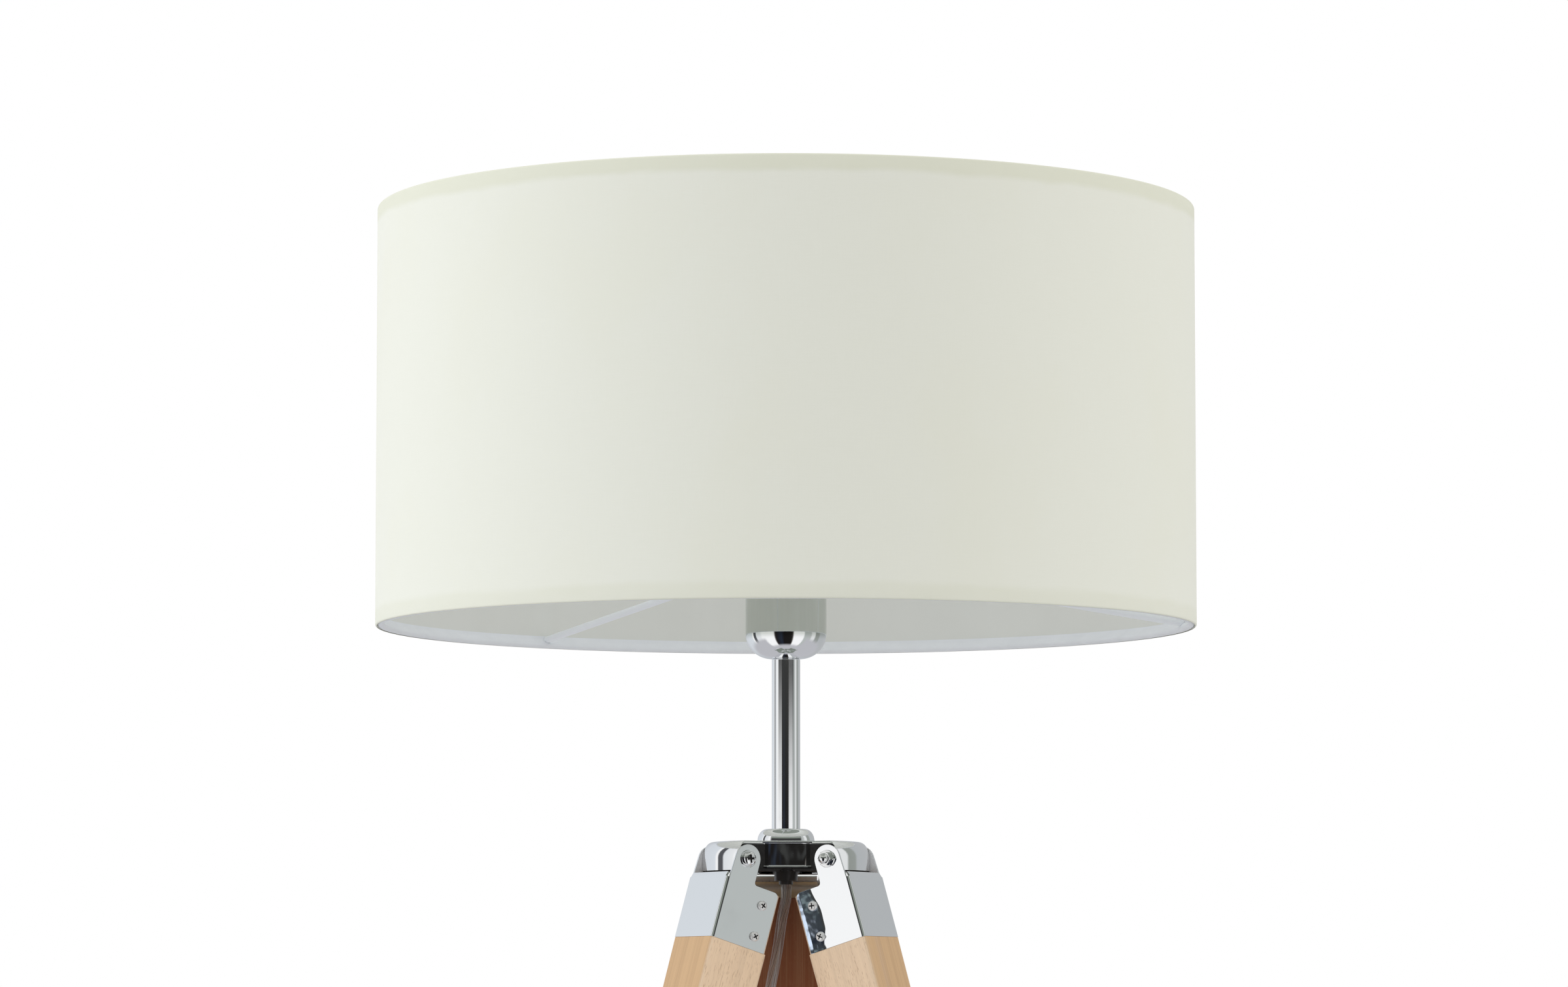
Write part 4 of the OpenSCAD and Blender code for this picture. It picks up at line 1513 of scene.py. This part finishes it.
    def _shoe(self) -> bpy.types.Object:
        """Folds sheet to a channel, with an ear on each side and a stop lip across its top.

        Returns:
            The new piece.
        """
        half_t = self.sheet_t / 2
        flat_n, flat_t = self.outer - self.bend_r, self.width / 2 - self.bend_r
        bend = self.bend_r - half_t
        lip_t = self.width / 2 - self.lip_inset
        section = Form.arc((flat_n, -flat_t), bend, -90, 0, 6)
        section += [(self.outer - half_t, -lip_t), (self.outer - half_t, lip_t)]
        section += Form.arc((flat_n, flat_t), bend, 0, 90, 6)
        skin = Skin()
        levels = (-self.shoe_top, -self.shoe_bottom)
        count = len(section)
        skin.points = [(n, t, z) for z in levels for n, t in section]
        skin.faces = [(k, k + 1, count + k + 1, count + k) for k in range(count - 1)]
        start = len(skin.points)
        over = (
            self.outer - half_t - self.lip_h * math.sin(self.lip_lean),
            -self.shoe_top + self.lip_h * math.cos(self.lip_lean),
        )
        skin.points += [
            (self.outer - half_t, -lip_t, levels[0]), (self.outer - half_t, lip_t, levels[0]),
            (over[0], lip_t, over[1]), (over[0], -lip_t, over[1]),
        ]
        skin.faces.append((start, start + 1, start + 2, start + 3))
        for sign in (-1, 1):
            start = len(skin.points)
            outline = self._flange(flat_n)
            skin.points += [(n, sign * (self.width / 2 - half_t), z) for n, z in outline]
            skin.faces.append(tuple(range(start, len(skin.points))))
        shoe = skin.piece(f"sheet_shoe_{self.side}", merge=0.00002)
        if max(shoe.data.polygons, key=lambda f: f.center.x).normal.x < 0:
            shoe.data.flip_normals()
        sheet = shoe.modifiers.new("sheet", "SOLIDIFY")
        sheet.thickness, sheet.offset, sheet.use_even_offset = self.sheet_t, 0.0, True
        sheet.material_offset = 1
        edge = shoe.modifiers.new("edges", "BEVEL")
        edge.width, edge.segments = self.edge_r, 2
        edge.limit_method, edge.angle_limit = "ANGLE", math.radians(50)
        edge.use_clamp_overlap = True
        shoe.modifiers.new("flat_faces", "WEIGHTED_NORMAL")
        return shoe

    def _fasteners(self) -> list[tuple[bpy.types.Object, str, Stock]]:
        """Makes the wood screws, the hinge bolt and its cap nut.

        Returns:
            Each piece, with the node that it stands for and its finish.
        """
        face = self.width / 2
        screws, bolt, nut = Skin(), Skin(), Skin()
        for i, s in enumerate(self.screw_s):
            for side in (-1, 1):
                stopped_at = 0.5 + 1.1 * i + 0.7 * side
                place = (
                    Matrix.Translation((self.screw_n, side * face, -s))
                    @ Matrix.Rotation(-side * math.pi / 2, 4, "X")
                    @ Matrix.Rotation(stopped_at, 4, "Z")
                )
                Fastener.pan_head(screws, place, *self.screw_head, *self.screw_shank)
        right = Matrix.Translation((0, face, 0)) @ Matrix.Rotation(-math.pi / 2, 4, "X")
        left = Matrix.Translation((0, -face, 0)) @ Matrix.Rotation(math.pi / 2, 4, "X")
        up = Matrix.Translation((0, 0, self.washer[1]))
        head = right @ up @ Matrix.Rotation(self.bolt_turn, 4, "Z")
        cap = left @ up @ Matrix.Rotation(self.nut_turn, 4, "Z")
        shank = 2 * face + 2 * self.washer[1] + self.nut_h
        washer_r, washer_t = self.washer
        Fastener.washer(bolt, right, washer_r, self.bolt_r + self.bolt_gap, washer_t)
        Fastener.pan_head(bolt, head, *self.bolt_head, self.bolt_r, shank)
        Fastener.washer(nut, left, washer_r, self.bolt_r + self.bolt_gap, washer_t)
        Fastener.cap_nut(nut, cap, self.nut_flats, self.nut_h, self.dome_r)
        out: list[tuple[bpy.types.Object, str, Stock]] = []
        for skin, piece_name, node, stock in (
            (screws, "pan_head_screws", "shoe_screws", Stock.SCREW),
            (bolt, "hinge_bolt", "pivot_bolt", Stock.FASTENER),
            (nut, "hinge_cap_nut", "pivot_nut", Stock.FASTENER),
        ):
            piece = skin.piece(f"{piece_name}_{self.side}")
            Form.polish(piece, 32)
            out.append((piece, f"{node}_{self.side}", stock))
        return out

    def build(self) -> None:
        """Makes the wood, the shoe and the fastenings, and dresses them."""
        palette = self.lamp.palette
        leg_body = f"{self.side}_leg"
        # only the right shoe gets the rolled sheet with its painted bluish reflection
        sheet = Stock.ROLLED_SHEET if self.side == "right" else Stock.SHEET_CHROME
        for piece, node, stocks, name in (
            (self._wood(), f"leg_{self.side}", (self.stock,), "beech"),
            (self._shoe(), f"shoe_{self.side}", (sheet, Stock.SHEET_BACK), "chromed_sheet"),
            # the fasteners' second finish paints shade in their recesses
            *((p, n, (stock, Stock.RECESS), "zinc_steel") for p, n, stock in self._fasteners()),
        ):
            piece.matrix_world = self.place
            palette.dress(piece, *stocks)
            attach(piece, leg_body)
            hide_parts(node)
        palette.dress_nodes(Stock.FELT, (f"foot_pad_{self.side}",))
        log.info("leg %s: wood, shoe and fastenings", self.side)


@dataclass
class CastHead:
    """Casting with three lugs for the legs, slightly rounded walls between them and a hollow below.

    Its second finish is the walls', and its third is dull unpolished metal painted dark as shade, on the
    underside, in the hollow and in the corners beside the walls.
    """

    WALL_SLOT = 1
    DULL_AND_SHADED_SLOT = 2

    lamp: Lamp
    outer_r: float = 0.0458
    height: float = 0.0165
    lug_half: float = 0.0188
    shoulder_w: float = 0.006
    shoulder_h: float = 0.009
    wall_r: float = 0.0297
    wall_arc: float = 0.080
    corner_end: float = 0.0410
    wall_rise: float = 0.0015
    rim_t: float = 0.0007
    rim_h: float = 0.0015
    hollow_r: float = 0.024
    hollow_h: float = 0.0125
    boss_r: float = 0.009
    recess_h: float = 0.0046
    pipe_r: float = 0.00505
    corner: float = 0.0007
    fillet: float = 0.0008
    soft: float = 0.0006
    round_top: float = 0.0018
    rim_soft: float = 0.0005
    lug_azimuths: tuple[float, ...] = (210.0, 330.0, 90.0)

    def _third(self, outer: float, half: float, wall: float) -> list[tuple[float, float, bool]]:
        """Outline of half a lug and half a wall, from the lug's middle to the wall's.

        Args:
            outer: radius of the lug's end.
            half: half the lug's width.
            wall: distance of the wall from the axis.

        Returns:
            Points (along the lug, across it, whether it belongs to the wall).
        """
        reach = math.sqrt((outer - self.corner) ** 2 - (half - self.corner) ** 2)
        swing = math.degrees(math.atan2(half - self.corner, reach))
        end = [(x, y, False) for x, y in Form.arc((0, 0), outer, 0, swing, 9)]
        end += [
            (x, y, False)
            for x, y in Form.arc((reach, half - self.corner), self.corner, swing, 90, 5)[1:]
        ]
        mid = math.radians(60.0)
        cx, cy = ((wall - self.wall_arc) * f(mid) for f in (math.cos, math.sin))
        y = half + self.fillet
        x = cx + math.sqrt((self.wall_arc + self.fillet) ** 2 - (y - cy) ** 2)
        back = math.degrees(math.atan2(y - cy, x - cx))
        arc = Form.arc((x, y), self.fillet, 270, 180 + back, 3)
        end.append((arc[0][0], arc[0][1], False))
        end += [(p, q, True) for p, q in arc[1:]]
        end += [(p, q, True) for p, q in Form.arc((cx, cy), self.wall_arc, back, 60, 7)[1:]]
        return end

    def _outline(self, level: float) -> tuple[list[Vector], list[bool]]:
        """The casting's outline at a height above its underside.

        Args:
            level: the height.

        Returns:
            The points, in the lamp's own frame, and which of them belong to a wall.
        """
        top = self.height
        over = max(level - (top - self.shoulder_h), 0.0) / self.shoulder_h
        outer = self.outer_r - self.shoulder_w * (1 - math.sqrt(max(1 - over * over, 0.0)))
        inset = max(self.round_top - (top - level), 0.0) / self.round_top
        below = max(self.soft - level, 0.0) / self.soft
        under = self.soft * (1 - math.sqrt(1 - below * below))
        cut = self.round_top * (1 - math.sqrt(1 - inset * inset)) + under
        low_rim = self.wall_rise + self.rim_h
        if level <= low_rim or level >= top - self.rim_h:
            near = min(abs(level - e) for e in (self.wall_rise, low_rim, top - self.rim_h, top))
            share = max(self.rim_soft - near, 0.0) / self.rim_soft
            wall = self.wall_r + self.rim_t - self.rim_soft * (1 - math.sqrt(1 - share * share))
        else:
            wall = self.wall_r
        third = self._third(outer - under, self.lug_half - cut, wall)
        points: list[Vector] = []
        walls: list[bool] = []
        for azimuth in self.lug_azimuths:
            a = math.radians(azimuth)
            whole = [(x, -y, w) for x, y, w in reversed(third)] + third[1:-1]
            for x, y, w in whole:
                z = max(level, self.wall_rise) if w else level
                points.append(swung(x, y, a, z))
                walls.append(w)
        return points, walls

    def build(self, low_z: float) -> bpy.types.Object:
        """Makes the casting.

        Args:
            low_z: height of its underside.

        Returns:
            The new piece.
        """
        base, walls = self._outline(0.0)
        mouth = [self._to_hollow(p, w) for p, w in zip(base, walls)]
        inner = [[Vector((0, 0, z)) + self._onto(p, r) for p in mouth] for r, z in self._hollow()]
        rings = [*reversed(inner), mouth, *(self._outline(level)[0] for level in self._levels())]
        skin = Skin()
        skin.loft(rings, Matrix.Translation((0, 0, low_z)), looped=True)
        casting = skin.piece("head_casting", merge=0.000004)
        for face in casting.data.polygons:
            face.material_index = self._finish(face, low_z)
        Form.polish(casting, 38)
        return casting

    def _levels(self) -> list[float]:
        """Heights of the outlines that the casting is made of, close together at its edges.

        Returns:
            The heights above its underside, rising.
        """
        top, low_rim = self.height, self.wall_rise + self.rim_h
        high_rim, shoulder = top - self.rim_h, top - self.shoulder_h
        levels = {0.0, 0.00008, 0.00025, 0.0006, self.wall_rise, self.wall_rise + 0.00035}
        levels.update(low_rim + d for d in (-0.00035, -0.0001, 0.0, 0.0001))
        levels.update(shoulder + self.shoulder_h * math.sin(math.radians(7.5 * k)) for k in range(10))
        levels.update(high_rim + d for d in (-0.0001, 0.0, 0.0001, 0.00035))
        levels.update(top - d for d in (0.0008, 0.00035, 0.00012, 0.00004, 0.0))
        return sorted(levels)

    def _hollow(self) -> list[tuple[float, float]]:
        """Profile of the hollow and the bore in its boss, from the hollow's mouth upwards.

        Returns:
            Its (radius, height) points.
        """
        return [
            (self.hollow_r, self.hollow_h - 0.001), (self.hollow_r - 0.001, self.hollow_h),
            (self.boss_r + 0.0006, self.hollow_h), (self.boss_r, self.hollow_h - 0.0006),
            (self.boss_r, self.recess_h + 0.0003), (self.boss_r - 0.0003, self.recess_h),
            (self.pipe_r, self.recess_h), (self.pipe_r, self.height),
        ]

    def _finish(self, face: bpy.types.MeshPolygon, low_z: float) -> int:
        """Chooses a face's finish.

        Args:
            face: the face.
            low_z: height of the casting's underside.

        Returns:
            The slot of the finish.
        """
        middle = face.center - Vector((0, 0, low_z))
        off = math.hypot(middle.x, middle.y)
        outwards = (face.normal.x * middle.x + face.normal.y * middle.y) / off
        below = face.normal.z < -0.05 and middle.z < self.wall_rise + 0.0003
        inside = off < self.hollow_r - 0.0002 and middle.z < self.height - 0.0001
        # painted shade: the underside, the hollow and the corners beside the walls take the near-black
        # finish
        if below or inside or self._in_corner(face, low_z):
            return self.DULL_AND_SHADED_SLOT
        if outwards > 0.88 and off < self.wall_r + 6 * self.rim_t and self._on_wall(middle):
            return self.WALL_SLOT
        return 0

    def _on_wall(self, point: Vector) -> bool:
        """Tells whether a point lies between two lugs.

        Args:
            point: the point, above the casting's underside.

        Returns:
            Whether it does.
        """
        ways = (math.radians(a + 90) for a in self.lug_azimuths)
        reach = self.lug_half + 0.0002
        return all(abs(point.x * math.cos(a) + point.y * math.sin(a)) > reach for a in ways) or (
            math.hypot(point.x, point.y) < self.wall_r + 2 * self.rim_t
        )

    def _in_corner(self, face: bpy.types.MeshPolygon, low_z: float) -> bool:
        """Tells whether a face of a lug's side lies in the corner beside a wall.

        Args:
            face: the face.
            low_z: height of the casting's underside.

        Returns:
            Whether it does.
        """
        for azimuth in self.lug_azimuths:
            a = math.radians(azimuth)
            along = face.center.x * math.cos(a) + face.center.y * math.sin(a)
            across = -face.center.x * math.sin(a) + face.center.y * math.cos(a)
            facing = -face.normal.x * math.sin(a) + face.normal.y * math.cos(a)
            side = abs(facing) > 0.7 and self.lug_half - 0.0003 < abs(across) < self.lug_half + self.fillet
            if side and 0.0 < along < self.corner_end and face.center.z < low_z + self.height - 0.002:
                return True
        return False

    def _to_hollow(self, point: Vector, wall: bool) -> Vector:
        """Finds the point on the hollow's mouth that faces one on the outline.

        Args:
            point: the point on the outline.
            wall: whether it belongs to a wall.

        Returns:
            The point on the mouth.
        """
        nearest = min(
            (math.radians(a) for a in self.lug_azimuths),
            key=lambda a: -(point.x * math.cos(a) + point.y * math.sin(a)),
        )
        c, s = math.cos(nearest), math.sin(nearest)
        y = -point.x * s + point.y * c
        if wall:
            swing = math.asin(self.lug_half / self.hollow_r) + 0.03 + 0.05 * (abs(y) - self.lug_half)
            swing = math.copysign(swing, y)
            x, y = self.hollow_r * math.cos(swing), self.hollow_r * math.sin(swing)
        else:
            x = math.sqrt(max(self.hollow_r ** 2 - y * y, 0.0))
        return swung(x, y, nearest, point.z)

    @staticmethod
    def _onto(point: Vector, radius: float) -> Vector:
        """The point on a circle in the same direction."""
        return Vector((point.x, point.y, 0.0)).normalized() * radius


@dataclass
class Head:
    """Cast head, stem and lampholder."""

    lamp: Lamp
    stem_wall: float = 0.001
    cup_round: float = 0.014
    cup_wall: float = 0.001
    cup_soft: float = 0.00035
    pipe_r: float = 0.0051
    segments: int = 96
    collar_top: float = 0.0105
    collar_bore: float = 0.0078
    collar_foot: float = 0.0002
    collar_rim: float = 0.0006

    def _collar(self) -> list[tuple[float, float]]:
        """Profile of the collar: a rounded shoulder up to a flat top.

        Returns:
            Its (radius, height) points.
        """
        low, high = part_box("stem_collar")
        foot, top = (high.x - low.x) / 2, self.collar_top
        rise, width = high.z - low.z - self.collar_rim, foot - top
        arc = [
            (top + width * math.cos(a), high.z - rise + rise * math.sin(a))
            for a in (math.radians(6 * k) for k in range(16))
        ]
        bottom = [(foot - self.collar_foot, low.z), (foot, low.z + self.collar_foot)]
        return [(self.collar_bore, low.z), *bottom, *arc, (self.collar_bore, high.z)]

    def _stem(self) -> list[tuple[float, float]]:
        """Profile of the stem tube, chamfered at its top.

        Returns:
            Its (radius, height) points.
        """
        low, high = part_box("stem_tube")
        r = (high.x - low.x) / 2
        inner = r - self.stem_wall
        return [
            (inner, low.z), (r, low.z), (r, high.z - 0.0007), (r - 0.0001, high.z - 0.0005),
            (r - 0.0005, high.z - 0.0001), (r - 0.0007, high.z), (inner, high.z),
        ]

    def _cup(self) -> list[tuple[float, float]]:
        """Profile of the cup: a flat bottom, a wide rounding and a straight side with a soft rim.

        Returns:
            Its (radius, height) points.
        """
        low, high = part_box("lampholder_cup")
        r = (high.x - low.x) / 2
        inner, soft = r - self.cup_wall, self.cup_soft
        corner = self.cup_round
        out = [(self.pipe_r, low.z)]
        out += Form.arc((r - corner, low.z + corner), corner, -90, 0, 28)
        out += Form.arc((r - soft, high.z - soft), soft, 0, 90, 4)
        out += Form.arc((inner + soft, high.z - soft), soft, 90, 180, 4)
        out += Form.arc((r - corner, low.z + corner), corner - self.cup_wall, 0, -90, 14)
        out.append((self.pipe_r, low.z + self.cup_wall))
        return out

    def build(self) -> None:
        """Makes the chromed pieces and dresses the rest of the head, the stem and the lampholder."""
        palette = self.lamp.palette
        casting = CastHead(self.lamp).build(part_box("tripod_head")[0].z)
        palette.dress(casting, Stock.CAST_CHROME, Stock.WALL_CHROME, Stock.CAST_DULL_AND_SHADED)
        pieces = [(casting, "tripod_head", "chromed_casting")]
        for name, profile, node, stock, slot in (
            ("stem_collar_ring", self._collar(), "stem_collar", Stock.CAST_CHROME, "chromed_casting"),
            ("stem_pipe", self._stem(), "stem_tube", Stock.TUBE_CHROME, "chromed_tube"),
            ("holder_cup", self._cup(), "lampholder_cup", Stock.CUP_CHROME, "chromed_tube"),
        ):
            piece = Form.turned(name, profile, self.segments, True)
            Form.polish(piece, 40)
            palette.dress(piece, stock)
            pieces.append((piece, node, slot))
        for piece, node, slot in pieces:
            piece.location = self.lamp.axis
            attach(piece, self.lamp.root)
            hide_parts(node)
        dress = palette.dress_nodes
        dress(Stock.ZINC, ("threaded_pipe", "pipe_washer", "pipe_nut", "cup_nut"))
        dress(Stock.RUBBER, ("cord_bush",))
        dress(Stock.HOLDER, ("lampholder_body", "shade_ring_nut"))
        dress(Stock.BRASS, ("screw_shell", "centre_contact", "terminal_screws"))
        dress(Stock.CORE_RETURN, ("inner_wires",))
        log.info("head, stem and lampholder made")


@dataclass
class FloorKit:
    """Foot switch, plug and the coil's tie."""

    lamp: Lamp

    def build(self) -> None:
        """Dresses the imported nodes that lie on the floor."""
        dress = self.lamp.palette.dress_nodes
        dress(Stock.GLOSS_WHITE, ("switch_base", "switch_cover", "plug_body"))
        dress(Stock.BUTTON, ("switch_button",))
        dress(Stock.BRASS, ("switch_contacts",))
        dress(Stock.ZINC, ("switch_screws", "plug_pins"))
        dress(Stock.BLACK, ("coil_tie",))
        log.info("foot switch, plug and tie dressed")


# ---------------------------------------------------------------------- studio


@dataclass
class Studio:
    """Floor, lights, surroundings and camera."""

    lamp: Lamp
    distance: float = 3.34
    eye_h: float = 1.043
    turn: float = math.radians(1.4)
    pitch: float = math.radians(5.15)
    side_step: float = -0.0011
    lens: float = 140.04
    sensor: float = 36.0
    sight: float = 60.0
    floor_r: float = 9.0
    floor_sides: int = 96
    floor_gap: float = 0.0002
    paint_low: RGB = (0.80, 0.80, 0.80)
    paint_high: RGB = (0.84, 0.84, 0.84)
    paint_unseen: RGB = (0.60, 0.60, 0.61)
    light_size: float = 1.8
    light_off: float = 3.0
    aim_h: float = 1.2
    fill: RGB = (0.95, 0.95, 0.95)
    front: RGB = (0.57, 0.57, 0.57)
    ceiling: RGB = (0.95, 0.95, 0.95)
    mirrored_floor: RGB = (0.52, 0.52, 0.55)
    mirrored_ceiling: RGB = (0.24, 0.265, 0.235)
    mirrored_gap: RGB = (0.045, 0.046, 0.045)
    ring: tuple[tuple[float, RGB], ...] = (
        (-180, (0.50, 0.52, 0.55)), (-150, (0.68, 0.71, 0.75)), (-116, (0.72, 0.76, 0.80)),
        (-112, (0.97, 0.97, 0.97)), (-109, (0.97, 0.97, 0.97)), (-107, (0.10, 0.105, 0.11)),
        (-98, (0.09, 0.09, 0.10)), (-96, (0.78, 0.80, 0.82)), (-80, (0.85, 0.86, 0.87)),
        (-74, (1.0, 1.0, 1.0)), (-36, (1.0, 1.0, 1.0)), (-33, (0.10, 0.09, 0.085)),
        (-30, (0.016, 0.014, 0.014)), (-14, (0.020, 0.026, 0.040)), (-6, (0.012, 0.011, 0.011)),
        (18, (0.014, 0.013, 0.012)), (21, (0.12, 0.11, 0.10)),
        (24, (1.0, 1.0, 1.0)), (54, (1.0, 1.0, 1.0)), (57, (0.49, 0.52, 0.51)),
        (78, (0.50, 0.52, 0.51)), (82, (0.80, 0.81, 0.81)), (93, (0.80, 0.81, 0.81)),
        (97, (0.30, 0.32, 0.30)), (111, (0.32, 0.34, 0.32)), (116, (0.46, 0.48, 0.49)),
        (165, (0.48, 0.49, 0.50)), (180, (0.50, 0.52, 0.55)),
    )

    def build_camera(self) -> None:
        """Makes the camera, level with the lamp's middle and pitched up a little."""
        data = bpy.data.cameras.new("view_camera")
        data.sensor_width, data.lens, data.clip_end = self.sensor, self.lens, self.sight
        camera = bpy.data.objects.new("view_camera", data)
        bpy.context.scene.collection.objects.link(camera)
        back = Vector((math.sin(self.turn), math.cos(self.turn), 0.0))
        right = Vector((math.cos(self.turn), -math.sin(self.turn), 0.0))
        camera.location = (
            self.lamp.axis - back * self.distance + right * self.side_step + Vector((0, 0, self.eye_h))
        )
        look = back * math.cos(self.pitch) + Vector((0, 0, math.sin(self.pitch)))
        camera.rotation_euler = look.to_track_quat("-Z", "Y").to_euler()
        bpy.context.scene.camera = camera

    def build_floor(self) -> None:
        """Lays a plain pale floor, which lights what is near it a little less than it shows."""
        mesh = bpy.data.meshes.new("floor")
        rim = [tuple(point) for point in circle(self.floor_r, 0.0, self.floor_sides)]
        mesh.from_pydata(rim, [], [tuple(range(self.floor_sides))])
        floor = bpy.data.objects.new("floor", mesh)
        bpy.context.scene.collection.objects.link(floor)
        pads = (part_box(f"foot_pad_{side}")[0].z for side in ("left", "right", "back"))
        floor.location.z = min(pads) - self.floor_gap
        material = bpy.data.materials.new("floor_paint")
        material.use_nodes = True
        graph = Graph(material.node_tree)
        tone = graph.noise(graph.place(), 3.0, 2.0)
        seen = graph.add("ShaderNodeLightPath", out="Is Camera Ray")
        pale = graph.mix(self.paint_low, self.paint_high, tone)
        colour = graph.mix(self.paint_unseen, pale, seen)
        shader = graph.add("ShaderNodeBsdfPrincipled", None, {"Base Color": colour, "Roughness": 0.7})
        graph.add("ShaderNodeOutputMaterial", None, {"Surface": shader})
        mesh.materials.append(material)
        floor.visible_glossy = False

    def build_lights(self) -> None:
        """Hangs a large soft light on each side, the left one stronger and cooler."""
        for name, azimuth, height, power, tint in (
            ("left_light", -76.0, 2.1, 29.0, (0.97, 0.995, 1.05)),
            ("right_light", 66.0, 2.1, 12.5, (1.04, 1.0, 0.93)),
        ):
            data = bpy.data.lights.new(name, "AREA")
            data.energy, data.size, data.color = power, self.light_size, tint
            light = bpy.data.objects.new(name, data)
            bpy.context.scene.collection.objects.link(light)
            a = math.radians(azimuth) - self.turn
            off = Vector((self.light_off * math.sin(a), -self.light_off * math.cos(a), height))
            light.location = self.lamp.axis + off
            aim = self.lamp.axis + Vector((0, 0, self.aim_h)) - light.location
            light.rotation_euler = aim.to_track_quat("-Z", "Y").to_euler()
            light.visible_glossy = False

    def build_world(self) -> None:
        """Surrounds the lamp: plain white behind it, soft fill, and a studio for the chrome."""
        world = bpy.data.worlds.new("studio")
        bpy.context.scene.world = world
        world.use_nodes = True
        graph = Graph(world.node_tree)
        parts = graph.apart(graph.add("ShaderNodeTexCoord", out="Generated"))
        x, y, z = parts.output("X"), parts.output("Y"), parts.output("Z")
        azimuth = x.angle_to(0.0 - y) + self.turn
        stops = [((a + 180) / 360, c) for a, c in self.ring]
        share = azimuth / (2 * math.pi) + 0.5
        ring = graph.add("ShaderNodeValToRGB", {"stops": stops}, {"Fac": share})
        facing = 1.0 - abs(azimuth).ramp(math.radians(60), math.radians(72))
        low = facing * (0.0 - z).ramp(0.80, 0.93) + (1.0 - facing) * (0.0 - z).ramp(0.30, 0.55)
        studio = graph.mix(ring, self.mirrored_floor, low)
        studio = graph.mix(studio, self.mirrored_gap, facing * z.ramp(0.03, 0.07))
        above = facing * z.ramp(0.26, 0.32) + (1.0 - facing) * z.ramp(0.62, 0.76)
        studio = graph.mix(studio, self.mirrored_ceiling, above)
        ahead = 1.0 - abs(azimuth).ramp(math.radians(26), math.radians(36))
        before = ahead * (1.0 - abs(z).ramp(0.5, 0.6))
        soft = graph.mix(self.fill, self.ceiling, z.ramp(0.5, 0.7))
        soft = graph.mix(soft, self.front, before)
        rays = graph.add("ShaderNodeLightPath", out="Is Glossy Ray")
        plain = graph.mix(soft, studio, rays)
        seen = rays.output("Is Camera Ray").larger(rays.output("Is Transmission Ray"))
        colour = graph.mix(plain, (1.0, 1.0, 1.0), seen)
        shader = graph.add("ShaderNodeBackground", None, {"Color": colour, "Strength": 1.0})
        graph.add("ShaderNodeOutputWorld", None, {"Surface": shader})

    def build(self) -> None:
        """Builds all but the camera."""
        self.build_floor()
        self.build_lights()
        self.build_world()
        bpy.context.scene.view_settings.view_transform = "Standard"


def main() -> None:
    """Builds the lamp and its studio."""
    logging.basicConfig(level=logging.INFO, format="%(name)s: %(message)s")
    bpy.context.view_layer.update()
    lamp = Lamp(Palette())
    studio = Studio(lamp)
    studio.build_camera()
    Cord(lamp).build()
    Shade(lamp).build()
    Head(lamp).build()
    for side, stock in (
        ("left", Stock.BEECH_LEFT), ("right", Stock.BEECH_RIGHT), ("back", Stock.BEECH_BACK),
    ):
        Leg(lamp, side, stock).build()
    FloorKit(lamp).build()
    studio.build()


if __name__ == "__main__":
    main()
